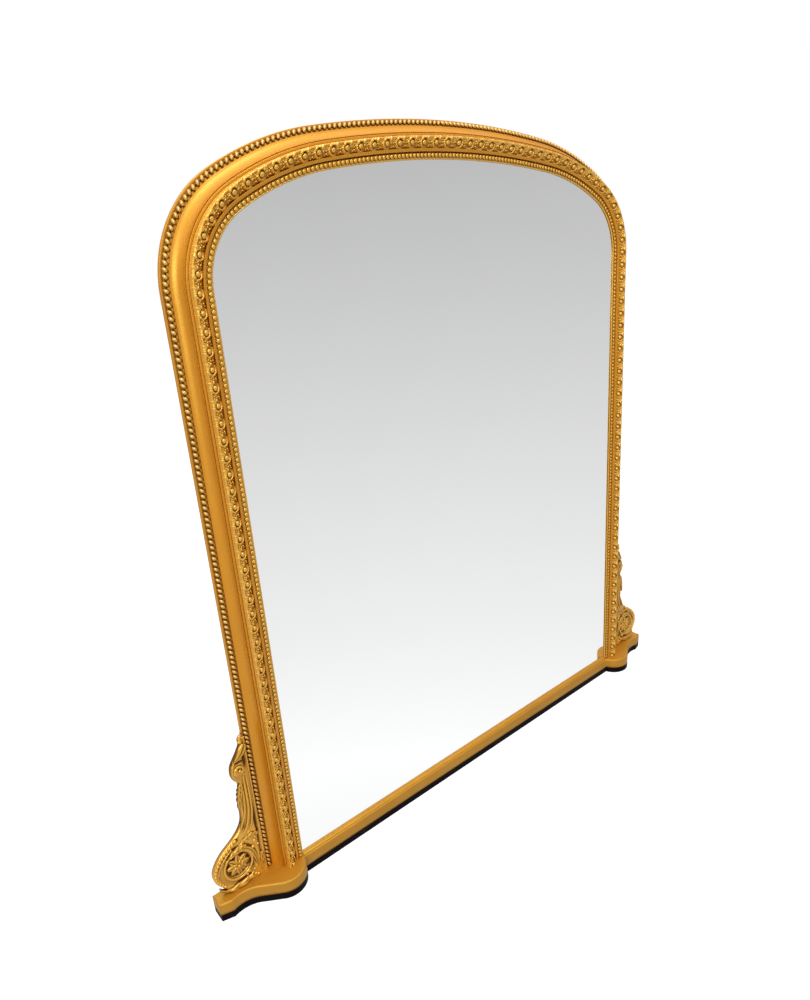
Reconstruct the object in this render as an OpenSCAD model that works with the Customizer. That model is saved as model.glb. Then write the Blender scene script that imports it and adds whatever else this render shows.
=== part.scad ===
// Overmantel mirror: a tall looking glass with a five-centred arched head, in a gilded pine
// frame. The frame stands on a serpentine-fronted plinth over an ebonised sole, with a carved
// scroll bracket against each side, and a strap hanger with a swinging ring on each stile.
// Millimetres. X runs to the right, Y to the back and Z up. The glass face lies on Y = 0, the
// middle of the glass on X = 0, and the underside of the sole on Z = 0.
//
// The frame's section is drawn in two coordinates: u runs outward from the edge of the glass
// that shows (the sight edge), and v runs forward from the glass face.

/* [Glass and arched head] */
// Width of the glass that shows
sight_w = 1200; // [1000:10:1400]
// Height of the upright part of the glass that shows
spring_h = 1302; // [1000:1:1500]
// Radius of the corner arcs of the head
corner_r = 157; // [130:1:190]
// Turn of each corner arc in degrees
corner_turn = 60.7; // [54:0.1:64]
// Radius of the haunch arcs between the corners and the crown
haunch_r = 572; // [480:1:700]
// Turn of each haunch arc in degrees
haunch_turn = 21.1; // [16:0.1:23]
// Thickness of the glass plate
glass_t = 4; // [3:0.5:6]
// How far the sight slip covers the edge of the glass
glass_cover = 7.5; // [5:0.5:8]
// Gap between the edge of the glass and the rebate that holds it
glass_gap = 1.5; // [1:0.5:3]

/* [Frame moulding] */
// Width of the sight slip
slip_w = 15; // [14:0.5:20]
// Height of the sight slip in front of the glass
slip_h = 6; // [5:0.5:8]
// Width of the plain lip at the sight edge
lip_w = 6; // [5:0.5:7]
// Fall of the lip towards the glass
lip_fall = 1; // [0.5:0.5:2]
// Width of the row of small beads on the slip
small_bead_d = 7; // [5:0.5:7.5]
// Distance of the small beads' centre line from the outer edge of the slip
small_bead_inset = 4.4; // [4:0.2:5.4]
// Height of the small beads' centre line above the slip
small_bead_lift = 1.8; // [1:0.2:3]
// Width of the inner fillet
inner_fillet_w = 6; // [4:0.5:8]
// Height of the inner fillet's outer edge above the glass face
inner_fillet_h = 11.5; // [10:0.5:14]
// Slope of the inner fillet, outer edge less inner edge
inner_fillet_rise = 3; // [1:0.5:4]
// Width of the leaf band, which is also the width of its seat
band_w = 25; // [20:1:32]
// Height of the leaf band's seat above the glass face
band_seat_h = 1.5; // [0:0.5:3]
// Height of the leaf band above its seat
band_h = 22.5; // [16:0.5:24]
// Radius of the leaf band's rounded top
band_top_r = 16; // [14:0.5:20]
// Gap between the leaf band and the fillets beside it
band_gap = 0.3; // [0.1:0.1:1]
// Width of the outer fillet
outer_fillet_w = 6; // [4:0.5:8]
// Height of the outer fillet above the glass face
outer_fillet_h = 2.5; // [2:0.5:5]
// Fall of the outer fillet towards the cove
outer_fillet_fall = 1.9; // [0.5:0.1:2]
// Width of the cove
cove_w = 17.5; // [15:0.5:22]
// Fall of the cove from the outer fillet to the bead seat
cove_fall = 24.4; // [20:0.2:26]
// Radius of the cove
cove_r = 24; // [20:0.5:30]
// Step down from the cove to the bead seat
bead_step = 1.6; // [1:0.2:3]
// Width of the bead seat
bead_seat_w = 9.4; // [8:0.2:12]
// Fall of the bead seat from its inner to its outer edge
bead_seat_fall = 8; // [6:0.5:8.5]
// Width of the plain rim outside the beads
rim_w = 5; // [3:0.5:8]
// Height of the rim above the outer edge of the bead seat
rim_lip = 0.8; // [0.4:0.1:1]
// Depth of the frame behind the glass face
frame_back = 42; // [41:0.5:50]
// Depth of the ledge that the backboards are screwed to, behind the glass face
ledge_back = 28; // [24:0.5:28]
// Width of that ledge
ledge_w = 11; // [10:0.5:16]

// Width of the outer bead string
bead_d = 10.6; // [9:0.2:11.4]
// Height of the beads' centre line above their seat
bead_lift = 2.2; // [1.6:0.1:3]

/* [Plinth and sole] */
// Height of the ebonised sole
sole_h = 18; // [10:1:20]
// Height of the gilded plinth
plinth_h = 29.5; // [22:0.5:40]
// Front of the plinth between the lobes, in front of the glass face
plinth_front = 12; // [10:1:16]
// Radius of the lobe under each stile
lobe_r = 52; // [46:1:60]
// Distance of the lobe's centre outward from the sight edge
lobe_out = 50; // [44:1:56]
// Distance of the lobe's centre behind the glass face
lobe_back = 2; // [0:0.5:6]
// Angle of the lobe's outer flank to the front in degrees
flank_angle = 33.4; // [28:0.2:38]
// Length of the flank between the lobe and the scallop
flank_run = 53; // [50:0.5:70]
// Radius of the hollow scallop beyond the flank
scallop_r = 75; // [60:1:90]
// Turn of the scallop past its deepest point in degrees
scallop_turn = 18; // [12:0.5:22]
// Width of the canted face at the end of the plinth
end_face = 29.5; // [24:0.5:34]
// Angle of that face to the front in degrees
end_cant = 16; // [8:0.5:24]
// Depth of the groove in the plinth that holds the foot of the glass
foot_groove = 6; // [4:0.5:10]
// Height of the foot slip above the plinth
foot_slip_h = 4; // [3:0.5:8]
// Width of the foot slip from back to front
foot_slip_w = 8; // [6:0.5:9]
// Clearance of the glass in its groove
groove_gap = 0.3; // [0.2:0.1:1]

/* [Brackets] */
// Depth of a bracket's board from the frame's back
bracket_t = 26; // [22:0.5:30]
// Thickness of the board's carved front, which keeps the full outline
bracket_face_t = 15; // [10:0.5:18]
// Distance by which the board is backed off behind its carved front
back_off = 8; // [4:0.5:10]
// Height of a bracket above the plinth
bracket_h = 376; // [350:1:420]
// Radius of the volute at the foot
volute_r = 55; // [50:1:58]
// Distance of the volute's centre from the stile
volute_out = 69; // [64:1:72]
// Height of the volute above the plinth
volute_lift = 3.5; // [2:0.5:6]
// Length of the bracket's foot along the plinth
bracket_foot = 91; // [80:1:100]
// Height of the raised rim of the volute
volute_rim_h = 4; // [2:0.5:6]
// Width of the raised rim of the volute
volute_rim_w = 9; // [7:0.5:12]
// Outer radius of the volute's inner coil
coil_r = 37; // [35:0.5:40]
// Width of the raised coils
coil_w = 5; // [3:0.5:6]
// Outer radius of the upper scroll's coil
upper_coil_r = 14; // [12:0.5:16]
// Radius of the upper scroll's eye
eye_r = 6; // [4:0.5:7]
// Radius of the rounded rib down the trunk
rib_r = 5; // [3:0.5:6]
// Radius of the knob beside the volute
knob_r = 7; // [5:0.5:8]
// Height of the knob above the plinth
knob_h = 90; // [84:1:100]
// Radius of the hollow sweep above the volute
sweep_r = 78.5; // [74:0.5:84]
// Height of the sweep's centre above the plinth
sweep_h = 187; // [184:1:190]
// Depth to which the sweep bites into the trunk
sweep_bite = 0.5; // [0.3:0.1:2]
// Direction of the volute's shoulder in degrees
shoulder_angle = 58; // [54:1:60]
// Width of the bracket's trunk
trunk_w = 33.5; // [30:0.5:35]
// Distance from the top of the bracket to the full width of the trunk
trunk_drop = 49; // [44:1:56]
// Width of the neck under the bud
neck_w = 15.5; // [13:0.5:16]
// Distance from the top of the bracket to the neck
neck_drop = 30; // [24:1:34]
// Radius of the bud at the top
bud_r = 7; // [6:0.5:7.5]
// Radius of the upper leaf scroll
scroll_r = 23.5; // [21:0.5:25]
// Distance from the top of the bracket to the upper scroll's centre
scroll_drop = 80; // [74:1:84]
// Radius of the lower leaf swelling
bulge_r = 12.5; // [11:0.5:14]
// Height of the lower swelling's centre above the plinth
bulge_h = 210.5; // [204:0.5:216]
// Radius of the rosette in the volute
rosette_r = 24; // [20:0.5:30]
// Number of petals in the rosette
petal_count = 8; // [7:1:9]
// Radius of a petal
petal_r = 8; // [7.6:0.2:9]
// Radius of the rosette's middle boss
boss_r = 7; // [5:0.5:8]
// Radius of the rosette's disc
rosette_disc_r = 16; // [12:0.5:18]
// Thickness of the rosette's disc
rosette_disc_t = 3; // [2:0.5:5]

/* [Back] */
// Thickness of the backboards
board_t = 12; // [8:0.5:13]
// Number of upright backboards
board_count = 5; // [3:2:7]
// Gap between backboards
board_gap = 1; // [0.5:0.5:3]
// Gap between the backboards and the frame round them
board_fit = 1.5; // [0.5:0.5:2.5]
// Height of the rail behind the foot of the glass
rail_h = 70; // [50:1:100]
// Thickness of that rail
rail_t = 18; // [12:0.5:18]
// Length of a glazing block
block_l = 45; // [30:1:60]
// Thickness of a glazing block against the rebate
block_t = 14; // [10:0.5:17]
// Thickness of a glazing block at its thin edge
block_edge_t = 3; // [2:0.5:6]
// Number of glazing blocks up each stile
block_count = 4; // [3:1:6]
// Length of a joint tongue across its joint
tongue_l = 50; // [36:1:60]
// Width of a joint tongue
tongue_w = 24; // [16:1:26]
// Thickness of a joint tongue
tongue_t = 6; // [4:0.5:8]
// Distance of a tongue outward from the backboards' ledge
tongue_inset = 4; // [3:0.5:5]
// Clearance round a tongue in its slots
tongue_fit = 0.2; // [0.1:0.1:0.5]

/* [Screws] */
// Shank diameter of the backboard screws
board_screw_d = 4; // [3:0.5:5]
// Length of the backboard screws
board_screw_l = 24; // [16:1:26]
// Number of backboard screws up each stile
board_screw_count = 4; // [3:1:6]
// Distance of the end screws from the ends of the stile's ledge
board_screw_inset = 60; // [40:5:90]
// Shank diameter of the plinth screws
plinth_screw_d = 6; // [4:0.5:8]
// Length of the plinth screws
plinth_screw_l = 80; // [60:1:100]
// Distance from the middle to the two screws in the bottom rail
rail_screw_x = 270; // [180:10:400]
// Clearance of a screw in the pieces that it holds
screw_fit = 0.1; // [0.05:0.05:0.3]

/* [Hangers] */
// Distance from the spring of the arch down to the hangers' hinge axis
hanger_drop = 153.5; // [60:0.5:400]
// Length of a hanger's strap
strap_l = 62; // [50:1:80]
// Width of the strap
strap_w = 18; // [14:0.5:24]
// Thickness of the strap
strap_t = 1.5; // [1:0.1:2]
// Outer radius of the strap's knuckle
knuckle_r = 4.4; // [4:0.1:6]
// Width of the knuckle
knuckle_w = 14; // [10:0.5:18]
// Diameter of the ring's wire
wire_d = 4; // [3:0.1:4.5]
// Running clearance of the wire in the knuckle, on the radius
wire_fit = 0.08; // [0.03:0.01:0.1]
// Inner width of the ring
ring_w = 24; // [20:0.5:32]
// Length of the ring from its hinge axis to the inside of its bow
ring_l = 24; // [20:0.5:32]
// Shank diameter of the hanger screws
hanger_screw_d = 4; // [3:0.5:5]
// Length of the hanger screws
hanger_screw_l = 22; // [16:1:28]
// Spacing of the two screws in a strap
hanger_screw_pitch = 26; // [20:1:34]
// Distance from the knuckle down to the upper screw
hanger_screw_drop = 14; // [11:0.5:18]

/* [Hidden] */
$fa = 1;
$fs = 1;
// Overrun of cutting shapes, and of halves where they are joined.
overrun = 1;

GILT = [0.86, 0.62, 0.24];
ORNAMENT = [0.93, 0.70, 0.32];
EBONISED = [0.06, 0.05, 0.05];
PINE = [0.72, 0.58, 0.40];
SILVERED = [0.80, 0.83, 0.85];
STEEL = [0.55, 0.55, 0.56];
BRASS = [0.72, 0.58, 0.28];

// The arch: each arc is [centre, sight radius, first angle, turn].
half_w = sight_w / 2;
base_h = sole_h + plinth_h;
sight_z = base_h + foot_slip_h;
spring_z = sight_z + spring_h;
crown_turn = 90 - corner_turn - haunch_turn;
corner_haunch = corner_turn + haunch_turn;
crown_r = (half_w - corner_r * (1 - cos(corner_turn))
    - haunch_r * (cos(corner_turn) - cos(corner_haunch))) / sin(crown_turn);
corner_c = [half_w - corner_r, spring_z];
haunch_c = corner_c + (corner_r - haunch_r) * [cos(corner_turn), sin(corner_turn)];
crown_c = haunch_c + (haunch_r - crown_r) * [cos(corner_haunch), sin(corner_haunch)];
CORNER = [corner_c, corner_r, 0, corner_turn];
HAUNCH = [haunch_c, haunch_r, corner_turn, haunch_turn];
CROWN = [crown_c, crown_r, corner_haunch, 2 * crown_turn];
crown_z = crown_c.y + crown_r;

// Stations of the frame's section, outward from the sight edge.
rebate_u = glass_cover + glass_gap;
ledge_u = rebate_u + ledge_w;
band_u = slip_w + inner_fillet_w;
outer_fillet_u = band_u + band_w;
cove_u = outer_fillet_u + outer_fillet_w;
bead_u = cove_u + cove_w;
rim_u = bead_u + bead_seat_w;
frame_u = rim_u + rim_w;
// Heights of the section in front of the glass face.
cove_v = outer_fillet_h - outer_fillet_fall;
cove_foot_v = cove_v - cove_fall;
bead_v = cove_foot_v - bead_step;
rim_v = bead_v - bead_seat_fall;
// The cove's centre stands on the mid-normal of its chord.
cove_chord = norm([cove_w, cove_fall]);
cove_stand = sqrt(cove_r * cove_r - cove_chord * cove_chord / 4);
cove_centre = [cove_u + cove_w / 2, cove_v - cove_fall / 2]
    + cove_stand * [cove_fall, cove_w] / cove_chord;
// The beads' centres stand on the mid-normal of their seat.
seat_len = norm([bead_seat_w, bead_seat_fall]);
bead_normal = [bead_seat_fall, bead_seat_w] / seat_len;
bead_centre = [bead_u + bead_seat_w / 2, bead_v - bead_seat_fall / 2] + bead_lift * bead_normal;
// The leaf band's rounded top is struck from the middle of the band.
band_top_c = [band_u + band_w / 2, band_seat_h + band_h - band_top_r];
small_bead_c = [slip_w - small_bead_inset, slip_h + small_bead_lift];

// Plan of the plinth, right half, with Y to the back. Each arc bites a little into the straight
// that it runs into, so that they cross at a true corner.
arc_bite = 0.3;
plinth_back = frame_back;
stile_x = half_w + frame_u;
lobe_c = [half_w + lobe_out, lobe_back];
flank_dir = [cos(flank_angle), sin(flank_angle)];
flank_normal = [sin(flank_angle), -cos(flank_angle)];
flank_start = lobe_c + (lobe_r - arc_bite) * flank_normal;
flank_end = flank_start + flank_run * flank_dir;
scallop_c = flank_end + (scallop_r - arc_bite) * flank_normal;
arris = scallop_c + scallop_r * [sin(scallop_turn), cos(scallop_turn)];
end_dir = [cos(end_cant), sin(end_cant)];
end_corner = arris + end_face * end_dir;
HALF_PLAN = [
    [lobe_c.x, -plinth_front], flank_start, flank_end, arris - overrun * end_dir,
    end_corner, [end_corner.x, plinth_back]
];

// The glass and what lies behind it.
rebate_gap_w = sight_w + 2 * rebate_u;
board_e = ledge_u - board_fit;
board_pitch = (sight_w + 2 * board_e + board_gap) / board_count;
rail_front = ledge_back - rail_t;
bracket_front = frame_back - bracket_t;

// The hangers stand in the middle of the stile's back.
hanger_x = half_w + (ledge_u + frame_u) / 2;
hinge_y = frame_back + knuckle_r;
hanger_z = spring_z - hanger_drop;
strap_screw_z = hanger_z - knuckle_r - hanger_screw_drop;

// Places its children on the right side, or mirrored on the left.
module on_side(side) {
    if (side == "left") mirror([1, 0, 0]) children();
    else children();
}

// Carries a section in (u, v) straight up the right stile from z0 to z1.
module up_stile(z0, z1) {
    translate([half_w, 0, z0])
        linear_extrude(z1 - z0)
            mirror([0, 1]) children();
}

// Carries a section in (u, v) round one arc of the head.
module round_arc(arc) {
    translate([arc[0].x, 0, arc[0].y])
        rotate([90, 0, 0])
            rotate([0, 0, arc[2]])
                rotate_extrude(angle = arc[3])
                    translate([arc[1], 0]) children();
}

// Puts its children at the angle a on an arc: local X is outward, Y along the frame, Z forward.
module at_arc(arc, a) {
    translate([arc[0].x, 0, arc[0].y])
        rotate([90, 0, 0])
            rotate([0, 0, a])
                translate([arc[1], 0, 0]) children();
}

// The carved section of the frame, from the rebate to the rim.
module frame_section() {
    difference() {
        polygon([
            [rebate_u, 0], [slip_w, 0],
            [slip_w, inner_fillet_h - inner_fillet_rise], [band_u, inner_fillet_h],
            [band_u, band_seat_h], [outer_fillet_u, band_seat_h],
            [outer_fillet_u, outer_fillet_h], [cove_u, cove_v],
            [bead_u, cove_foot_v], [bead_u, bead_v], [rim_u, rim_v],
            [rim_u, rim_v + rim_lip], [frame_u, rim_v],
            [frame_u, -frame_back], [ledge_u, -frame_back],
            [ledge_u, -ledge_back], [rebate_u, -ledge_back]
        ]);
        translate(cove_centre) circle(r = cove_r);
    }
}

// The sight slip: a plain lip against the glass and a round row of small beads.
module slip_section() {
    polygon([[0, 0], [slip_w, 0], [slip_w, slip_h], [lip_w, slip_h], [0, slip_h - lip_fall]]);
    translate(small_bead_c) circle(d = small_bead_d);
}

// The leaf band: straight sides under a rounded top.
module band_section() {
    intersection() {
        translate(band_top_c) circle(r = band_top_r);
        translate([band_u + band_gap, band_seat_h]) square([band_w - 2 * band_gap, band_h + overrun]);
    }
}

// The bead string: a round on the sloping bead seat.
module bead_section() {
    slope = atan2(bead_seat_fall, bead_seat_w);
    intersection() {
        translate(bead_centre) circle(d = bead_d);
        translate([bead_u, bead_v]) rotate(-slope) square([seat_len, bead_d]);
    }
}

// A slot for a loose tongue in the middle of the frame's section.
module tongue(fit) {
    translate([ledge_u + tongue_inset + tongue_w / 2, 0, -ledge_back / 2])
        cube([tongue_w + 2 * fit, tongue_l + 2 * fit, tongue_t + 2 * fit], center = true);
}

// Every joint of the right half of the head, as [arc, angle].
HEAD_JOINTS = [[CORNER, 0], [CORNER, corner_turn], [HAUNCH, corner_haunch]];

module head_joints(fit) {
    for (joint = HEAD_JOINTS) at_arc(joint[0], joint[1]) tongue(fit);
}

// The part of a circle that stands outside the chord of an arc, e outside the sight edge.
module arc_cap(arc, e) {
    reach = (arc[1] + e) / cos(arc[3] / 2) + overrun;
    under = arc[1] + e - overrun;
    a0 = arc[2];
    a1 = arc[2] + arc[3];
    translate(arc[0])
        intersection() {
            circle(r = arc[1] + e);
            polygon([
                under * [cos(a0), sin(a0)], reach * [cos(a0), sin(a0)],
                reach * [cos(a1), sin(a1)], under * [cos(a1), sin(a1)]
            ]);
        }
}

function arc_end(arc, a, e) = arc[0] + (arc[1] + e) * [cos(a), sin(a)];

// The outline of the head and sides, e outside the sight edge, from z = z0 up.
module arched_plate(e, z0) {
    spring = [half_w + e, spring_z];
    knee = arc_end(CORNER, corner_turn, e);
    hip = arc_end(HAUNCH, corner_haunch, e);
    polygon([
        [half_w + e, z0], spring, knee, hip,
        [-hip.x, hip.y], [-knee.x, knee.y], [-spring.x, spring.y], [-half_w - e, z0]
    ]);
    arc_cap(CROWN, e);
    for (side = ["left", "right"]) {
        flip = side == "left" ? [1, 0] : [0, 0];
        mirror(flip) arc_cap(CORNER, e);
        mirror(flip) arc_cap(HAUNCH, e);
    }
}

// A countersunk screw whose head lies flush at the origin, with its shank down -Z.
module screw(d, l, fit) {
    translate([0, 0, -l]) cylinder(d = d + 2 * fit, h = l);
    translate([0, 0, -d / 2]) cylinder(d1 = d + 2 * fit, d2 = 2 * d + 2 * fit, h = d / 2);
}

// ---- Plinth ----

module plinth_plan() {
    difference() {
        union() {
            polygon(concat(HALF_PLAN, [
                for (i = [len(HALF_PLAN) - 1:-1:0]) [-HALF_PLAN[i].x, HALF_PLAN[i].y]
            ]));
            for (side = [-1, 1])
                translate([side * lobe_c.x, lobe_c.y])
                    intersection() {
                        circle(r = lobe_r);
                        translate([-lobe_r - overrun, -lobe_r - overrun])
                            square([2 * (lobe_r + overrun), lobe_r + overrun]);
                    }
        }
        for (side = [-1, 1])
            translate([side * scallop_c.x, scallop_c.y]) circle(r = scallop_r);
    }
}

// Places of the screws that rise through sole and plinth into the frame.
stile_screw_x = half_w + (ledge_u + cove_u) / 2;
PLINTH_SCREWS = [
    [-stile_screw_x, frame_back / 2], [-rail_screw_x, rail_front + rail_t / 2],
    [rail_screw_x, rail_front + rail_t / 2], [stile_screw_x, frame_back / 2]
];

module plinth_screw_set(fit) {
    for (place = PLINTH_SCREWS)
        translate([place.x, place.y, 0])
            mirror([0, 0, 1]) screw(plinth_screw_d, plinth_screw_l, fit);
}

module sole_board() {
    color(EBONISED)
    difference() {
        linear_extrude(sole_h) plinth_plan();
        plinth_screw_set(screw_fit);
    }
}

module plinth() {
    color(GILT)
    difference() {
        translate([0, 0, sole_h]) linear_extrude(plinth_h) plinth_plan();
        plinth_screw_set(screw_fit);
        translate([-half_w - rebate_u, -groove_gap, base_h - foot_groove])
            cube([rebate_gap_w, glass_t + 2 * groove_gap, foot_groove + overrun]);
    }
}

// ---- Frame ----

module stile() {
    difference() {
        up_stile(base_h, spring_z) frame_section();
        head_joints(tongue_fit);
        plinth_screw_set(screw_fit);
        board_screw_set(screw_fit);
        hanger_screw_set(screw_fit);
    }
}

module left_stile() {
    color(GILT) on_side("left") stile();
}

module right_stile() {
    color(GILT) on_side("right") stile();
}

module arc_rail(arc) {
    difference() {
        round_arc(arc) frame_section();
        head_joints(tongue_fit);
        board_screw_set(screw_fit);
    }
}

module left_shoulder() {
    color(GILT) on_side("left") arc_rail(CORNER);
}

module right_shoulder() {
    color(GILT) on_side("right") arc_rail(CORNER);
}

module left_haunch() {
    color(GILT) on_side("left") arc_rail(HAUNCH);
}

module right_haunch() {
    color(GILT) on_side("right") arc_rail(HAUNCH);
}

module crown_rail() {
    color(GILT)
    difference() {
        round_arc(CROWN) frame_section();
        on_side("left") head_joints(tongue_fit);
        on_side("right") head_joints(tongue_fit);
        board_screw_set(screw_fit);
    }
}

module joint_tongues() {
    color(PINE) {
        on_side("left") head_joints(0);
        on_side("right") head_joints(0);
    }
}

module bottom_rail() {
    color(PINE)
    difference() {
        translate([-half_w - rebate_u, rail_front, base_h])
            cube([rebate_gap_w, rail_t, rail_h]);
        plinth_screw_set(screw_fit);
        board_screw_set(screw_fit);
    }
}

module foot_slip() {
    color(GILT)
    translate([-half_w, 0, base_h])
        rotate([90, 0, 90])
            linear_extrude(sight_w)
                polygon([
                    [0, 0], [0, foot_slip_h], [-foot_slip_w / 2, foot_slip_h],
                    [-foot_slip_w, foot_slip_h / 2], [-foot_slip_w, 0]
                ]);
}

// ---- Applied ornament ----

module both_arcs(arc) {
    on_side("left") round_arc(arc) children();
    on_side("right") round_arc(arc) children();
}

module left_sight_slip() {
    color(GILT) on_side("left") up_stile(base_h, spring_z) slip_section();
}

module right_sight_slip() {
    color(GILT) on_side("right") up_stile(base_h, spring_z) slip_section();
}

module corner_sight_slips() {
    color(GILT) both_arcs(CORNER) slip_section();
}

module haunch_sight_slips() {
    color(GILT) both_arcs(HAUNCH) slip_section();
}

module crown_sight_slip() {
    color(GILT) round_arc(CROWN) slip_section();
}

module left_leaf_band() {
    color(ORNAMENT) on_side("left") up_stile(base_h, spring_z) band_section();
}

module right_leaf_band() {
    color(ORNAMENT) on_side("right") up_stile(base_h, spring_z) band_section();
}

module corner_leaf_bands() {
    color(ORNAMENT) both_arcs(CORNER) band_section();
}

module haunch_leaf_bands() {
    color(ORNAMENT) both_arcs(HAUNCH) band_section();
}

module crown_leaf_band() {
    color(ORNAMENT) round_arc(CROWN) band_section();
}

module left_bead_string() {
    color(ORNAMENT) on_side("left") up_stile(base_h, spring_z) bead_section();
}

module right_bead_string() {
    color(ORNAMENT) on_side("right") up_stile(base_h, spring_z) bead_section();
}

module corner_bead_strings() {
    color(ORNAMENT) both_arcs(CORNER) bead_section();
}

module haunch_bead_strings() {
    color(ORNAMENT) both_arcs(HAUNCH) bead_section();
}

module crown_bead_string() {
    color(ORNAMENT) round_arc(CROWN) bead_section();
}

// ---- Brackets, drawn for the right side with X out from the stile and Y up from the plinth ----

volute_c = [volute_out, volute_lift + volute_r];
shoulder_dir = [cos(shoulder_angle), sin(shoulder_angle)];
sweep_c = [trunk_w - sweep_bite + sweep_r, sweep_h];
bud_c = [bud_r, bracket_h - bud_r];
scroll_c = [scroll_r, bracket_h - scroll_drop];
bulge_c = [trunk_w, bulge_h];

// The trunk, from the neck down to the foot, with the hollow sweep into the volute. Its outer
// side is set back by inset.
module trunk_outline(inset) {
    difference() {
        polygon([
            [0, 0], [0, bud_c.y], [2 * bud_r - inset, bud_c.y],
            [neck_w - inset, bracket_h - neck_drop], [trunk_w - inset, bracket_h - trunk_drop],
            [trunk_w - inset, sweep_h], volute_c + (volute_r - inset) * shoulder_dir, volute_c,
            [bracket_foot - inset, 0]
        ]);
        translate(sweep_c) circle(r = sweep_r + inset);
    }
}

// Stands a flat outline upright against the right stile, y from the glass face and t thick.
module stand_bracket(y, t) {
    translate([stile_x, y + t, base_h])
        rotate([90, 0, 0])
            linear_extrude(t) children();
}

// One thickness of the board, with its outer side set back by inset.
module bracket_board(t, inset) {
    stand_bracket(bracket_front, t) trunk_outline(inset);
    stand_bracket(bracket_front, t) translate(volute_c) circle(r = volute_r - inset);
    stand_bracket(bracket_front, t) translate(scroll_c) circle(r = scroll_r - inset);
    stand_bracket(bracket_front, t) translate(bulge_c) circle(r = bulge_r - inset);
}

// Puts a shape on the front of the board, with the shape's own Z to the front.
module on_board(at) {
    translate([stile_x + at.x, bracket_front, base_h + at.y])
        rotate([90, 0, 0]) children();
}

// The round-ended rib that runs down the trunk between the scroll and the sweep.
module rib() {
    rib_x = trunk_w / 2;
    rib_foot = sweep_h;
    rib_head = scroll_c.y - scroll_r;
    translate([stile_x + rib_x, bracket_front, base_h + rib_foot])
        cylinder(r = rib_r, h = rib_head - rib_foot);
    on_board([rib_x, rib_foot]) sphere(r = rib_r);
    on_board([rib_x, rib_head]) sphere(r = rib_r);
}

module bracket() {
    bracket_board(bracket_t, back_off);
    bracket_board(bracket_face_t, 0);
    stand_bracket(bracket_front, bracket_face_t) translate(bud_c) circle(r = bud_r);
    rib();
    on_board(scroll_c) sphere(r = eye_r);
    on_board([trunk_w / 2, knob_h]) sphere(r = knob_r);
}

module left_bracket() {
    color(GILT) on_side("left") bracket();
}

module right_bracket() {
    color(GILT) on_side("right") bracket();
}

// A flat ring of width w that is raised on the board.
module coil(centre, r, w) {
    stand_bracket(bracket_front - volute_rim_h, volute_rim_h)
        translate(centre)
            difference() {
                circle(r = r);
                circle(r = r - w);
            }
}

module volute_rim() {
    coil(volute_c, volute_r, volute_rim_w);
    coil(volute_c, coil_r, coil_w);
    coil(scroll_c, upper_coil_r, coil_w);
}

module left_volute_rim() {
    color(ORNAMENT) on_side("left") volute_rim();
}

module right_volute_rim() {
    color(ORNAMENT) on_side("right") volute_rim();
}

module rosette() {
    translate([stile_x + volute_c.x, bracket_front, base_h + volute_c.y])
        rotate([90, 0, 0])
            intersection() {
                union() {
                    cylinder(r = rosette_disc_r, h = rosette_disc_t);
                    sphere(r = boss_r);
                    for (i = [1:petal_count])
                        rotate(360 / petal_count * i)
                            translate([rosette_r - petal_r, 0, 0]) sphere(r = petal_r);
                }
                cylinder(r = rosette_r + overrun, h = petal_r + overrun);
            }
}

module left_rosette() {
    color(ORNAMENT) on_side("left") rosette();
}

module right_rosette() {
    color(ORNAMENT) on_side("right") rosette();
}

// ---- Glass and back ----

module mirror_glass() {
    color(SILVERED)
    translate([0, glass_t, 0])
        rotate([90, 0, 0])
            linear_extrude(glass_t) arched_plate(glass_cover, base_h - foot_groove);
}

// A tapered block glued in the rebate, pressing on the back of the glass.
module block_section() {
    polygon([
        [rebate_u, -glass_t], [-glass_cover, -glass_t],
        [-glass_cover, -glass_t - block_edge_t], [rebate_u, -glass_t - block_t]
    ]);
}

// A block that follows an arc of the head, about the angle a.
module arc_block(arc, a) {
    turn = block_l / arc[1] * 180 / PI;
    round_arc([arc[0], arc[1], a - turn / 2, turn]) block_section();
}

module glazing_blocks() {
    low_z = base_h + rail_h + block_l;
    high_z = spring_z - 2 * block_l;
    color(PINE)
    for (side = ["left", "right"])
        on_side(side) {
            for (i = [0:block_count - 1]) {
                z = low_z + (high_z - low_z) * i / (block_count - 1);
                up_stile(z, z + block_l) block_section();
            }
            arc_block(CORNER, corner_turn / 2);
            arc_block(HAUNCH, corner_turn + haunch_turn / 2);
            arc_block(CROWN, 90 - crown_turn / 2);
        }
}

// Places of the backboard screws in the frame's right half and in the bottom rail, as [x, z].
screw_e = (rebate_u + board_e) / 2;
side_low_z = base_h + rail_h + board_screw_inset;
side_step = (spring_z - board_screw_inset - side_low_z) / (board_screw_count - 1);
SIDE_SCREWS = [
    for (i = [0:board_screw_count - 1]) [half_w + screw_e, side_low_z + side_step * i]
];
HEAD_SCREWS = [
    arc_end(CORNER, corner_turn / 2, screw_e),
    arc_end(HAUNCH, corner_turn + haunch_turn / 2, screw_e),
    arc_end(CROWN, 90 - crown_turn / 2, screw_e)
];
FOOT_SCREWS = [
    for (i = [1:board_count]) [board_pitch * (i - (board_count + 1) / 2), base_h + rail_h / 2]
];

module board_screw(place, fit) {
    translate([place.x, ledge_back + board_t, place.y])
        rotate([-90, 0, 0]) screw(board_screw_d, board_screw_l, fit);
}

module board_screw_set(fit) {
    for (place = FOOT_SCREWS) board_screw(place, fit);
    for (place = concat(SIDE_SCREWS, HEAD_SCREWS)) {
        board_screw(place, fit);
        board_screw([-place.x, place.y], fit);
    }
}

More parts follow.
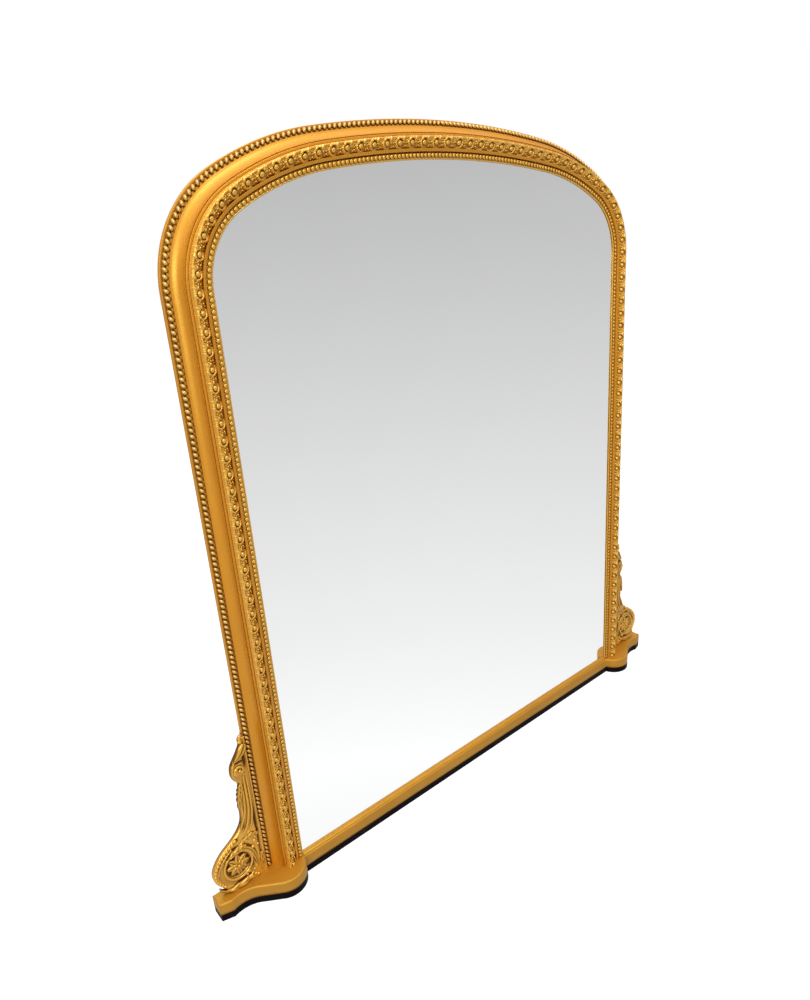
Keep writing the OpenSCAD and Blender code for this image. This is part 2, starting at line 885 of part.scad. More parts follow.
// Upright boards side by side, cut to the shape of the head together.
module backboards() {
    color(PINE)
    difference() {
        for (i = [0:board_count - 1])
            translate([0, ledge_back + board_t, 0])
                rotate([90, 0, 0])
                    linear_extrude(board_t)
                        intersection() {
                            arched_plate(board_e, base_h);
                            translate([-half_w - board_e + board_pitch * i, 0])
                                square([board_pitch - board_gap, 2 * crown_z]);
                        }
        board_screw_set(screw_fit);
    }
}

module backboard_screws() {
    color(STEEL) board_screw_set(0);
}

module plinth_screws() {
    color(STEEL) plinth_screw_set(0);
}

// ---- Hangers ----

module hanger_screw_set(fit) {
    for (i = [0, 1])
        translate([hanger_x, frame_back + strap_t, strap_screw_z - i * hanger_screw_pitch])
            rotate([-90, 0, 0]) screw(hanger_screw_d, hanger_screw_l, fit);
}

module hanger_strap() {
    difference() {
        union() {
            translate([hanger_x - strap_w / 2, frame_back, hanger_z - strap_l])
                cube([strap_w, strap_t, strap_l - knuckle_r]);
            translate([hanger_x - knuckle_w / 2, frame_back, hanger_z - knuckle_r])
                cube([knuckle_w, strap_t, knuckle_r]);
            translate([hanger_x - knuckle_w / 2, hinge_y, hanger_z])
                rotate([0, 90, 0]) cylinder(r = knuckle_r, h = knuckle_w);
        }
        translate([hanger_x - knuckle_w, hinge_y, hanger_z])
            rotate([0, 90, 0]) cylinder(r = wire_d / 2 + wire_fit, h = 2 * knuckle_w);
        hanger_screw_set(screw_fit);
    }
}

module left_hanger_strap() {
    color(BRASS) on_side("left") hanger_strap();
}

module right_hanger_strap() {
    color(BRASS) on_side("right") hanger_strap();
}

// The ring hangs from its straight bar: two short sides and a round bow.
module hanger_ring() {
    wire_r = wire_d / 2;
    bow_r = (ring_w + wire_d) / 2;
    bow_z = hanger_z - (ring_l - ring_w / 2);
    translate([hanger_x - bow_r, hinge_y, hanger_z])
        rotate([0, 90, 0]) cylinder(r = wire_r, h = 2 * bow_r);
    for (end = [-1, 1])
        translate([hanger_x + end * bow_r, hinge_y, bow_z]) {
            cylinder(r = wire_r, h = hanger_z - bow_z);
            translate([0, 0, hanger_z - bow_z]) sphere(r = wire_r);
        }
    translate([hanger_x, hinge_y, bow_z])
        rotate([90, 0, 0])
            rotate([0, 0, 180])
                rotate_extrude(angle = 180)
                    translate([bow_r, 0]) circle(r = wire_r);
}

module left_hanger_ring() {
    color(STEEL) on_side("left") hanger_ring();
}

module right_hanger_ring() {
    color(STEEL) on_side("right") hanger_ring();
}

module hanger_screws() {
    color(STEEL) {
        on_side("left") hanger_screw_set(0);
        on_side("right") hanger_screw_set(0);
    }
}

sole_board();
plinth();
left_stile();
right_stile();
left_shoulder();
right_shoulder();
left_haunch();
right_haunch();
crown_rail();
bottom_rail();
foot_slip();
left_sight_slip();
right_sight_slip();
corner_sight_slips();
haunch_sight_slips();
crown_sight_slip();
left_leaf_band();
right_leaf_band();
corner_leaf_bands();
haunch_leaf_bands();
crown_leaf_band();
left_bead_string();
right_bead_string();
corner_bead_strings();
haunch_bead_strings();
crown_bead_string();
left_bracket();
right_bracket();
left_volute_rim();
right_volute_rim();
left_rosette();
right_rosette();
mirror_glass();
glazing_blocks();
backboards();
backboard_screws();
joint_tongues();
plinth_screws();
left_hanger_strap();
right_hanger_strap();
left_hanger_ring();
right_hanger_ring();
hanger_screws();
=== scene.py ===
# %% [markdown]
# # A gilded overmantel mirror
#
# The real object is a tall looking glass with a flattened arched head, in a pine frame that is
# covered in gesso and composition ornament and then gilded. It stands on a shaped plinth over a
# black sole, and a carved scroll leans against each side.
#
# The joined and measured construction is loaded first and never changes. Everything below gives
# it a surface: the mouldings are swept along the line of the frame, the ornament is worked out as
# relief on top of them, and the finishes are built from nodes.

# %% Load the frame
import math

import bmesh
import bpy
import numpy as np
from mathutils import Matrix


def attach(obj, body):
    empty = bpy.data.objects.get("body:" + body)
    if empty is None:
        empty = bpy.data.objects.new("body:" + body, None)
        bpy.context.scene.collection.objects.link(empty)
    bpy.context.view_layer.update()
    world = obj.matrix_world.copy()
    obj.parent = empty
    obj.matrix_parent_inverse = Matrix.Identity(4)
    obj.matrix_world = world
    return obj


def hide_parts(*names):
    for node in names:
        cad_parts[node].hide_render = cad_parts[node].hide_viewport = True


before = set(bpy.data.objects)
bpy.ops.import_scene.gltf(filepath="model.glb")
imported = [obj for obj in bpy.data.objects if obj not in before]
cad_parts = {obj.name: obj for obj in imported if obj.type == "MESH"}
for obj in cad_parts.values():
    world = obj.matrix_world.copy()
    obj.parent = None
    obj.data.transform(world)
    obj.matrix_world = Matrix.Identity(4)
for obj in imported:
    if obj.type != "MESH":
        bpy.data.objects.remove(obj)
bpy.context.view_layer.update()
BODY = "mirror"
MM = 0.001

# %% [markdown]
# ## The line of the frame
#
# A frame maker strikes this arch from five centres: a small arc at each corner, a longer one over
# each haunch, and a very flat one over the crown. Each arc runs smoothly into the next, because
# neighbouring centres lie on one line with the joint between them.
#
# A Blender curve could follow the arch too, but everything on the frame needs exact places and
# directions along it, so the line is worked out once. It starts at the left foot, climbs the
# stile, goes over the head and comes down to the right foot.

# %% Sizes of the arch, in metres
HALF_W = 600 * MM
BASE_Z = 47.5 * MM
SPRING_Z = 1353.5 * MM
CORNER_R, CORNER_TURN = 157 * MM, math.radians(60.7)
HAUNCH_R, HAUNCH_TURN = 572 * MM, math.radians(21.1)
HIP = CORNER_TURN + HAUNCH_TURN
CROWN_R = (
    HALF_W
    - CORNER_R * (1 - math.cos(CORNER_TURN))
    - HAUNCH_R * (math.cos(CORNER_TURN) - math.cos(HIP))
) / math.cos(HIP)
corner_c = np.array([HALF_W - CORNER_R, SPRING_Z])
haunch_c = corner_c + (CORNER_R - HAUNCH_R) * np.array([math.cos(CORNER_TURN), math.sin(CORNER_TURN)])
crown_c = haunch_c + (HAUNCH_R - CROWN_R) * np.array([math.cos(HIP), math.sin(HIP)])
print("crown radius %.3f m, top of the glass %.3f m" % (CROWN_R, crown_c[1] + CROWN_R))

# %% The seven spans of the line: stile, corner, haunch, crown, haunch, corner, stile
flip = np.array([-1, 1])
CENTRE = np.array([
    [-HALF_W, BASE_Z], corner_c * flip, haunch_c * flip, crown_c, haunch_c, corner_c, [HALF_W, BASE_Z]
])
RADIUS = np.array([0, CORNER_R, HAUNCH_R, CROWN_R, HAUNCH_R, CORNER_R, 0])
FIRST = np.array([math.pi, math.pi, math.pi - CORNER_TURN, math.pi - HIP, HIP, CORNER_TURN, 0])
LAST = np.array([math.pi, math.pi - CORNER_TURN, math.pi - HIP, HIP, CORNER_TURN, 0, 0])
RISE = np.array([SPRING_Z - BASE_Z, 0, 0, 0, 0, 0, SPRING_Z - BASE_Z])


def span_ends(offset):
    """Arc lengths at which the spans end, measured `offset` outside the sight edge."""
    return np.concatenate([[0], np.cumsum(RISE + (RADIUS + offset) * np.abs(LAST - FIRST))])


def along(offset, s, span):
    """The sight-edge point and the outward normal at arc lengths s of the line `offset` outside.

    On a stile the point climbs straight up. On an arc it is centre + radius * (cos a, sin a), and
    the angle a grows in proportion to the arc length.
    """
    start, end = span_ends(offset)[span:span + 2]
    t = (s - start) / (end - start)
    a = FIRST[span] + t * (LAST[span] - FIRST[span])
    normal = np.stack([np.cos(a), np.sin(a)], 1)
    point = CENTRE[span] + RADIUS[span] * normal
    point[:, 1] += RISE[span] * (t if span == 0 else 1 - t)
    return point, normal


def place(point, normal, u, v):
    """World points for u outward from the sight edge and v forward from the glass face."""
    flat = point[:, None, :] + u[..., None] * normal[:, None, :]
    return np.stack([flat[..., 0], np.broadcast_to(-v, flat.shape[:2]), flat[..., 1]], -1)


def upright(x, z):
    """Directions in the plane of the glass, from their two parts."""
    return np.stack([x, 0 * x, z], -1)


def walked(path):
    """The distance walked at each point of a path."""
    return np.concatenate([[0], np.cumsum(np.linalg.norm(np.diff(path, axis=0), axis=1))])


print("length of the sight edge %.3f m" % span_ends(0)[-1])

# %% [markdown]
# ## From arrays to meshes
#
# Every new piece is a set of points worked out by numpy and a list of quads between them. Blender's
# own tools could add one shape after another, but whole arrays are quicker and say what the shape
# is. The helper below collects several such patches into one mesh. It also stores a value called
# hollow at each point, from 0 on the tops to 1 in the depths and on the sides of beads and rolls
# that face their ground: it says where painted shade darkens the gilding, and it also stands for
# the dark toning that old gilding keeps in its hollows. And it stores a map called path, the
# distances along and across a moulding.

# %% A collector of patches


def grid_quads(rows, cols, close_cols=False):
    """Quads between neighbours on a rows x cols grid that is numbered row by row."""
    r, c = np.meshgrid(np.arange(rows - 1), np.arange(cols if close_cols else cols - 1), indexing="ij")
    r, c = r.ravel(), c.ravel()
    d = (c + 1) % cols
    return np.stack([r * cols + c, (r + 1) * cols + c, (r + 1) * cols + d, r * cols + d], 1)


class Patches:
    """Points, quads and end caps of one piece, gathered before the mesh is made."""

    def __init__(self):
        self.points, self.quads, self.caps = [], [], []
        self.hollow, self.normals, self.path = [], [], []
        self.count = 0

    def add(self, points, quads, hollow, normals=None, path=None, caps=()):
        """Adds points (n, 3) with quads (m, 4); normals (n, 3) and path (n, 2) are optional."""
        n = len(points)
        if normals is not None:
            a, b, c = (points[quads[:, i]] for i in range(3))
            if (np.cross(b - a, c - b) * normals[quads[:, 0]]).sum() < 0:
                quads = quads[:, ::-1]
                caps = [cap[::-1] for cap in caps]
        self.quads.append(quads + self.count)
        self.caps += [cap + self.count for cap in caps]
        self.points.append(points)
        self.hollow.append(hollow)
        self.normals.append(np.zeros((n, 3)) if normals is None else normals)
        self.path.append(np.zeros((n, 2)) if path is None else path)
        self.count += n

    def tube(self, points, hollow, normals=None, path=None):
        """Adds a closed tube (rings, points of a ring, 3) with a cap at each end."""
        rows, cols = points.shape[:2]
        ring = np.arange(cols)
        flat = (None if part is None else part.reshape(rows * cols, -1) for part in (normals, path))
        hollow = np.broadcast_to(hollow, (rows, cols)).ravel()
        caps = [ring, (rows - 1) * cols + ring[::-1]]
        self.add(points.reshape(-1, 3), grid_quads(rows, cols, True), hollow, *flat, caps)

    def mesh(self, name, keep_normals=False):
        """Makes the mesh, smooth, with the hollow value and the path map.

        It keeps the patches' own normals, or else every closed shell is turned to face outwards.
        """
        points = np.concatenate(self.points)
        quads = np.concatenate(self.quads).astype(np.int32)
        sizes = np.concatenate([np.full(len(quads), 4), [len(c) for c in self.caps]]).astype(np.int32)
        corners = np.concatenate([quads.ravel()] + self.caps).astype(np.int32)
        mesh = bpy.data.meshes.new(name)
        mesh.vertices.add(len(points))
        mesh.vertices.foreach_set("co", points.astype(np.float32).ravel())
        mesh.loops.add(len(corners))
        mesh.loops.foreach_set("vertex_index", corners)
        mesh.polygons.add(len(sizes))
        starts = np.concatenate([[0], np.cumsum(sizes)[:-1]])
        mesh.polygons.foreach_set("loop_start", starts.astype(np.int32))
        mesh.polygons.foreach_set("use_smooth", np.ones(len(sizes), bool))
        mesh.update(calc_edges=True)
        hollow = mesh.attributes.new("hollow", "FLOAT", "POINT")
        hollow.data.foreach_set("value", np.concatenate(self.hollow).astype(np.float32))
        path = mesh.uv_layers.new(name="path")
        path.data.foreach_set("uv", np.concatenate(self.path)[corners].astype(np.float32).ravel())
        if keep_normals:
            normals = np.concatenate(self.normals)
            mesh.normals_split_custom_set_from_vertices(normals.astype(np.float32))
        else:
            shells = bmesh.new()
            shells.from_mesh(mesh)
            bmesh.ops.recalc_face_normals(shells, faces=shells.faces)
            shells.to_mesh(mesh)
            shells.free()
        return mesh


def piece(mesh, slot, *finishes, stands_for=None):
    """Links a finished mesh as one piece of the object, on its body and under the mesh's name."""
    thing = bpy.data.objects.new(mesh.name, mesh)
    bpy.context.scene.collection.objects.link(thing)
    for finish in finishes:
        mesh.materials.append(finish)
    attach(thing, BODY)
    if stands_for:
        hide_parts(stands_for)


# %% [markdown]
# ## Finishes
#
# Shader maths is easier to read as plain expressions. `Shade` wraps a socket, so that `1 - mask`
# or `tone * 0.5` adds the right Math node, and `Nodes.node` adds any other node from its type,
# its settings and the values or links of its sockets. The same could be drawn by hand in the
# shader editor, but an expression is shorter and can't be linked to the wrong socket unseen.

# %% Shader expressions


class Shade:
    """A value in a node tree. Arithmetic on it adds Math nodes."""

    def __init__(self, nodes, socket):
        self.nodes, self.socket = nodes, socket

    def _math(self, operation, a, b):
        return self.nodes.node("ShaderNodeMath", {"operation": operation}, {0: a, 1: b})

    def __add__(self, other):
        return self._math("ADD", self, other)

    def __radd__(self, other):
        return self._math("ADD", other, self)

    def __sub__(self, other):
        return self._math("SUBTRACT", self, other)

    def __rsub__(self, other):
        return self._math("SUBTRACT", other, self)

    def __mul__(self, other):
        return self._math("MULTIPLY", self, other)

    def __rmul__(self, other):
        return self._math("MULTIPLY", other, self)


class Nodes:
    """A node tree, and the ways to add nodes to it."""

    def __init__(self, tree):
        self.tree = tree
        tree.nodes.clear()

    def put(self, socket, value):
        """Gives a socket a number, a colour or a link."""
        if isinstance(value, Shade):
            self.tree.links.new(value.socket, socket)
        else:
            socket.default_value = value

    def node(self, kind, settings=None, sockets=None, out=0):
        """Adds a node and returns one of its outputs. The stops of a ramp go from left to right."""
        node = self.tree.nodes.new(kind)
        for name, value in (settings or {}).items():
            if name == "stops":
                while len(node.color_ramp.elements) < len(value):
                    node.color_ramp.elements.new(0.5)
                for element, (where, colour) in zip(node.color_ramp.elements, value):
                    element.position = where
                    element.color = colour
            else:
                setattr(node, name, value)
        for name, value in (sockets or {}).items():
            self.put(node.inputs[name], value)
        return Shade(self, node.outputs[out])

    def noise(self, vector, scale, detail, roughness=0.5):
        sockets = {"Vector": vector, "Scale": scale, "Detail": detail, "Roughness": roughness}
        return self.node("ShaderNodeTexNoise", {}, sockets)

    def stretch(self, vector, scale):
        """Scales a coordinate by three factors."""
        return self.node("ShaderNodeMapping", {}, {"Vector": vector, "Scale": scale})

    def steps(self, value, low, high, to_low=0.0, to_high=1.0):
        """Carries a value from low..high to to_low..to_high, held at the ends."""
        sockets = {"Value": value, "From Min": low, "From Max": high, "To Min": to_low, "To Max": to_high}
        return self.node("ShaderNodeMapRange", {"clamp": True}, sockets)

    def blend(self, factor, a, b):
        """Mixes two colours."""
        return self.node("ShaderNodeMix", {"data_type": "RGBA"}, {0: factor, 6: a, 7: b}, out=2)

    def by_ray(self, kind, others, these):
        """One shader for rays of a kind, Camera or Glossy, and another for all others."""
        ray = self.node("ShaderNodeLightPath", out="Is %s Ray" % kind)
        return self.node("ShaderNodeMixShader", {}, {0: ray, 1: others, 2: these})


class Finish(Nodes):
    """One material, with its surface shader. Its constants are set on the shader itself."""

    def __init__(self, name, **constants):
        self.material = bpy.data.materials.new(name)
        self.material.use_nodes = True
        super().__init__(self.material.node_tree)
        self.surface = self.tree.nodes.new("ShaderNodeBsdfPrincipled")
        self.output = self.tree.nodes.new("ShaderNodeOutputMaterial")
        self.tree.links.new(self.surface.outputs[0], self.output.inputs["Surface"])
        self.feed(**constants)

    def feed(self, **values):
        """Gives values or links to the sockets of the surface shader."""
        for name, value in values.items():
            self.put(self.surface.inputs[name.replace("_", " ")], value)
        return self.material

    def place(self):
        """Object coordinates, in metres."""
        return self.node("ShaderNodeTexCoord", out="Object")

    def bump(self, height, distance, strength):
        return self.node("ShaderNodeBump", {}, {"Height": height, "Distance": distance, "Strength": strength})


# %% [markdown]
# ## Gilding
#
# Oil and water gilding lie over a red clay called bole. The gold is warm where it is burnished,
# and thin enough on the edges for the bole to show as a redder brown. Painted shade darkens the
# hollows and the undersides of the ornament; in the hollows it also stands for the toning glaze
# that gathers there.
#
# A plain yellow metal would be the first thought, but it shows the room more than its own colour.
# Aged gilding, under size and toning, looks like a deep orange body with a gold-coloured sheen,
# so the recipe is a coloured body with little metal in it, and its reflection is tinted gold.
# The painted shade is also more metallic, which keeps it dark.
#
# One recipe with other numbers serves four finishes: the smooth mouldings, the carved ornament,
# the outer pearls, which are browner, and the plinth, where hands and dusters have worn the gold.

# %% The gilder's recipe
# The dark brown of the painted shade in hollows and on undersides.
PAINTED_SHADE_GOLD = (0.105, 0.036, 0.004, 1)
BOLE_RED = (0.36, 0.13, 0.035, 1)
GOLD_SHEEN = (1.0, 0.88, 0.22, 1)
BRUSH_STRETCH = (3, 260, 1)
SKIN_DEPTH = 0.6 * MM
BODY_METAL, PAINTED_SHADE_METAL = 0.12, 0.8


def gilding(name, light, dark, roughness, grain, streaks, bole, coat):
    """Gold skin: cloudy tone, brush streaks along the moulding, rubbed bole, and painted shade in the
    hollows.
    """
    gilt = Finish(name, IOR=2.3, Specular_Tint=GOLD_SHEEN, Coat_Weight=coat, Coat_Roughness=0.22)
    where = gilt.place()
    along_path = gilt.stretch(gilt.node("ShaderNodeUVMap", {"uv_map": "path"}), BRUSH_STRETCH)
    hollow = gilt.node("ShaderNodeAttribute", {"attribute_name": "hollow"}, out="Fac")
    cloud = gilt.noise(where, 7.0, 4.0)
    fine = gilt.noise(where, 240.0, 3.0)
    brushed = gilt.noise(along_path, 1.0, 3.0)
    tone = gilt.steps(cloud * 0.6 + brushed * streaks, 0.2, 0.75)
    colour = gilt.blend(tone, light, dark)
    rubbed = gilt.steps(gilt.noise(where, 38.0, 5.0, 0.65), 0.60, 0.72) * bole
    colour = gilt.blend(rubbed, colour, BOLE_RED)
    # Painted shade: the hollow value darkens the gold to a dark brown and makes it rougher and more metallic
    # there.
    painted_shade = gilt.steps(hollow + (fine - 0.5) * 0.25, 0.15, 0.95)
    colour = gilt.blend(painted_shade, colour, PAINTED_SHADE_GOLD)
    shine = roughness + (cloud - 0.5) * 0.16 + painted_shade * 0.22
    skin = fine * grain + gilt.noise(where, 60.0, 2.0) * grain + brushed * streaks * 0.5
    metal, normal = BODY_METAL + painted_shade * PAINTED_SHADE_METAL, gilt.bump(skin, SKIN_DEPTH, 0.6)
    return gilt.feed(Base_Color=colour, Roughness=shine, Metallic=metal, Normal=normal)


# Each finish: light and dark gold, roughness, grain, brush streaks, share of rubbed bole, coat.
RECIPES = {
    "smooth_gilding": ((0.62, 0.230, 0.010, 1), (0.52, 0.170, 0.004, 1), 0.42, 0.45, 0.55, 0.35, 0.0),
    "ornament_gilding": ((0.70, 0.32, 0.035, 1), (0.60, 0.25, 0.018, 1), 0.27, 0.60, 0.0, 0.25, 0.25),
    "pearl_gilding": ((0.62, 0.32, 0.09, 1), (0.44, 0.20, 0.05, 1), 0.27, 0.40, 0.0, 0.25, 0.2),
    "worn_gilding": ((0.54, 0.205, 0.012, 1), (0.36, 0.125, 0.004, 1), 0.50, 0.60, 0.50, 0.75, 0.0)
}
SMOOTH_GILT, ORNAMENT_GILT, PEARL_GILT, WORN_GILT = (gilding(name, *r) for name, r in RECIPES.items())
print("gilding finishes:", len(RECIPES))

# %% [markdown]
# ## Other finishes
#
# The sole is stained black, the back is bare pine that has darkened with age, the hangers are dull
# brass and the screws plain steel. The glass is silvered on the back. It could be a clear plate
# over a silver sheet, but what the eye sees is the sheet alone, so it is simply a metal with no
# roughness. Pictures of real wood could be wrapped round the back, but noise that is stretched
# along the grain has no edges and fits every board.

# %% Black sole, pine, glass and metal


def ebonised():
    """Black stain with a soft shine and a few rubbed places."""
    black = Finish("ebonised_wood", Specular_IOR_Level=0.02)
    where = black.place()
    worn = black.steps(black.noise(where, 22.0, 5.0, 0.6), 0.58, 0.8)
    colour = black.blend(worn, (0.006, 0.004, 0.005, 1), (0.030, 0.020, 0.015, 1))
    pores = black.noise(black.stretch(where, (12, 260, 260)), 1.0, 3.0)
    return black.feed(Base_Color=colour, Roughness=0.42 + worn * 0.2, Normal=black.bump(pores, 0.3 * MM, 0.5))


def pine(name, stretch, light, dark):
    """Bare pine: grain lines along the board, softened by a cloudy age tone."""
    wood = Finish(name, Specular_IOR_Level=0.3)
    where = wood.place()
    drift = wood.noise(wood.stretch(where, stretch), 1.0, 4.0)
    rings = wood.steps(wood.node("ShaderNodeMath", {"operation": "SINE"}, {0: drift * 60.0}), -0.6, 1.0)
    fibre = wood.noise(wood.stretch(where, tuple(6 * s for s in stretch)), 2.0, 3.0)
    colour = wood.blend(rings * 0.55 + fibre * 0.35, light, dark)
    age = wood.steps(wood.noise(where, 5.0, 3.0), 0.45, 0.8) * 0.5
    colour = wood.blend(age, colour, (0.16, 0.09, 0.045, 1))
    return wood.feed(Base_Color=colour, Roughness=0.62 + fibre * 0.2, Normal=wood.bump(fibre, 0.4 * MM, 0.6))


def old_metal(name, colour, stain, roughness):
    """A plain metal with a cloudy tarnish."""
    metal = Finish(name, Metallic=1.0)
    tarnish = metal.steps(metal.noise(metal.place(), 120.0, 4.0), 0.4, 0.75)
    return metal.feed(Base_Color=metal.blend(tarnish, colour, stain), Roughness=roughness + tarnish * 0.25)


def silvered():
    """Silvered plate: a perfect mirror with the faintest wash of grey."""
    glass = Finish("silvered_glass", Metallic=1.0)
    wash = glass.noise(glass.place(), 2.0, 2.0)
    colour = glass.blend(wash, (0.955, 0.960, 0.958, 1), (0.935, 0.942, 0.942, 1))
    return glass.feed(Base_Color=colour, Roughness=0.0)


EBONISED = ebonised()
BACK_PINE = pine("upright_pine", (38, 38, 2.2), (0.56, 0.38, 0.20, 1), (0.34, 0.20, 0.09, 1))
RAIL_PINE = pine("level_pine", (2.2, 38, 38), (0.52, 0.35, 0.19, 1), (0.31, 0.18, 0.08, 1))
HANGER_BRASS = old_metal("hanger_brass", (0.62, 0.44, 0.17, 1), (0.26, 0.17, 0.07, 1), 0.34)
SCREW_STEEL = old_metal("screw_steel", (0.46, 0.45, 0.44, 1), (0.17, 0.14, 0.12, 1), 0.38)
SILVERED = silvered()
print("materials:", len(bpy.data.materials))

# %% [markdown]
# ## The moulding
#
# The carcass of the frame is one section carried along the line. On the real frame it is planed in
# the stiles and sawn in short curved lengths for the head, and gesso then hides the joints and
# softens every arris. Here each corner of the section is rounded by a fraction of a millimetre,
# because a perfectly sharp edge never catches the light.
#
# A curve with a bevel object could do this too. The sum is used because it also gives the exact
# normals, so that two lengths of moulding meet without a visible seam.

# %% The section, as (u, v) in millimetres
FRAME_BACK = 42
REBATE_U, SLIP_U, BAND_U, FILLET_U, BEAD_U, RIM_U, FRAME_U = 9, 15, 21, 46, 69.5, 78.9, 83.9
LEDGE_U, LEDGE_V = 20, -28
BAND_V, BAND_LIP, COVE_FOOT_V, BEAD_V, RIM_V, RIM_LIP = 1.5, 11.0, -23.8, -25.4, -33.4, 0.8
QUIRK_U, QUIRK_V, FILLET_V = 51.2, 2.2, 4.8
COVE_R, COVE_POINTS = 24, 15
ARRIS_R, ROUND_POINTS = 0.7, 3


def arc_points(start, end, radius, count):
    """Points on the arc of `radius` from start to end that bends towards the lower left."""
    start, end = np.array(start, float), np.array(end, float)
    chord = end - start
    half = np.linalg.norm(chord) / 2
    across = np.array([-chord[1], chord[0]]) / (2 * half)
    centre = (start + end) / 2 + across * math.sqrt(radius**2 - half**2)
    a0, a1 = (math.atan2(*(p - centre)[::-1]) for p in (start, end))
    a1 += 2 * math.pi * round((a0 - a1) / (2 * math.pi))
    a = np.linspace(a0, a1, count)
    return centre + radius * np.stack([np.cos(a), np.sin(a)], 1)


def soften(corners, radius):
    """Rounds each corner of a closed outline: a curve pulled towards the corner replaces it.

    Between the points p, q where the curve leaves the two sides, it is the parabola
    (1 - t)^2 p + 2 t (1 - t) corner + t^2 q.
    """
    corners = np.asarray(corners, float)
    reach = []
    for neighbour in (np.roll(corners, 1, 0), np.roll(corners, -1, 0)):
        side = neighbour - corners
        length = np.linalg.norm(side, axis=1, keepdims=True)
        reach.append((corners + side / length * np.minimum(radius, 0.4 * length))[:, None])
    t = np.linspace(0, 1, ROUND_POINTS)[None, :, None]
    p, q, c = *reach, corners[:, None]
    return ((1 - t) ** 2 * p + 2 * t * (1 - t) * c + t**2 * q).reshape(-1, 2)


def outline_normals(outline):
    """Outward normals of a closed outline, from the line between each point's neighbours."""
    x, y = outline.T
    tangent = np.roll(outline, -1, 0) - np.roll(outline, 1, 0)
    area = np.sum(x * np.roll(y, -1) - y * np.roll(x, -1))
    normal = np.stack([tangent[:, 1], -tangent[:, 0]], 1) * np.sign(area)
    return normal / np.linalg.norm(normal, axis=1, keepdims=True)


cove = arc_points((QUIRK_U + 1.6, QUIRK_V + 0.9), (BEAD_U, COVE_FOOT_V), COVE_R, COVE_POINTS)
before_cove = [
    (SLIP_U, -2), (SLIP_U, 8.5), (BAND_U, BAND_LIP), (BAND_U, BAND_V), (FILLET_U, BAND_V),
    (FILLET_U, FILLET_V), (QUIRK_U - 0.9, FILLET_V - 0.3), (QUIRK_U - 0.4, QUIRK_V),
    (QUIRK_U + 0.7, QUIRK_V - 0.3), cove[0]
]
after_cove = [
    cove[-1], (BEAD_U, BEAD_V), (RIM_U, RIM_V), (RIM_U, RIM_V + RIM_LIP), (FRAME_U, RIM_V),
    (FRAME_U, -FRAME_BACK), (LEDGE_U, -FRAME_BACK), (LEDGE_U, LEDGE_V), (REBATE_U, LEDGE_V), (REBATE_U, -2)
]
softened = soften(before_cove + after_cove, ARRIS_R)
cut = ROUND_POINTS * len(before_cove)
CARCASS = np.concatenate([softened[:cut], cove[1:-1], softened[cut:]])
print("points in the carcass section:", len(CARCASS))

# %% Sweep a section along one span
STATION = 12 * MM


def sweep(patches, outline, span, hollow):
    """Carries a closed outline (u, v in millimetres) along one span of the line.

    A point of the surface is the sight-edge point + u * outward normal - v * Y. Its normal is the
    outline's own normal in the same axes, so neighbouring spans meet without a seam.
    """
    start, end = span_ends(0)[span:span + 2]
    s = np.linspace(start, end, math.ceil((end - start) / STATION) + 1)
    point, normal = along(0, s, span)
    u, v = outline.T * MM
    shape = (len(s), len(u))
    n2 = outline_normals(outline)
    points = place(point, normal, np.broadcast_to(u, shape), v)
    forward = np.broadcast_to(-n2[:, 1], shape)
    normals = np.stack([n2[:, 0] * normal[:, :1], forward, n2[:, 0] * normal[:, 1:]], -1)
    path = np.stack(np.broadcast_arrays(s[:, None], walked(outline)[None, :] * MM), -1)
    patches.tube(points, hollow, normals, path)
    return len(s)


def shade_spots(outline, places):
    """Painted shade at each point of a section: for each (u, v, reach, strength) a soft dark spot there."""
    value = np.zeros(len(outline))
    for u, v, reach, painted_shade in places:
        distance = np.hypot(outline[:, 0] - u, outline[:, 1] - v)
        value = np.maximum(value, painted_shade * np.exp(-((distance / reach) ** 2)))
    return value


# Painted shade in the creases of the section: beside the slip, at the feet of the band and the fillet, in the
# quirk, round the seat of the outer beads and at the rim.
CARCASS_SHADE = shade_spots(CARCASS, [
    (SLIP_U, 4, 2.6, 1.0), (BAND_U, BAND_V, 5.0, 0.6), (FILLET_U, BAND_V, 2.0, 0.8),
    (QUIRK_U, QUIRK_V - 0.4, 1.5, 0.7), (BEAD_U, BEAD_V, 2.0, 0.6), (RIM_U, RIM_V, 3.0, 0.8),
    (74, -29.5, 4, 0.8)
])
CARCASS_NODES = (
    "left_stile", "left_shoulder", "left_haunch", "crown_rail",
    "right_haunch", "right_shoulder", "right_stile"
)
for span, node in enumerate(CARCASS_NODES):
    patches = Patches()
    rows = sweep(patches, CARCASS, span, CARCASS_SHADE)
    mesh = patches.mesh(node + "_gilt", keep_normals=True)
    # The faces on the very back were never gilded: they take the second material, bare pine.
    middle = np.zeros(len(mesh.polygons) * 3)
    mesh.polygons.foreach_get("center", middle)
    bare = middle[1::3] > (FRAME_BACK - 0.1) * MM
    mesh.polygons.foreach_set("material_index", bare.astype(np.int32))
    piece(mesh, "gilded_pine", SMOOTH_GILT, BACK_PINE, stands_for=node)
    print(node, rows, "stations")

# %% [markdown]
# ## Beads
#
# A string of beads is turned or moulded with a little neck between the pearls. Each bead could be
# one of Blender's spheres, whose faces crowd at the poles. Here its few faces come from a cube:
# points on the cube's six sides are pushed out to the same distance from the middle. All the beads
# of a string are then placed at once, at equal steps of arc length along their own line, so they
# keep their spacing round the corners.

# %% A bead, and many beads


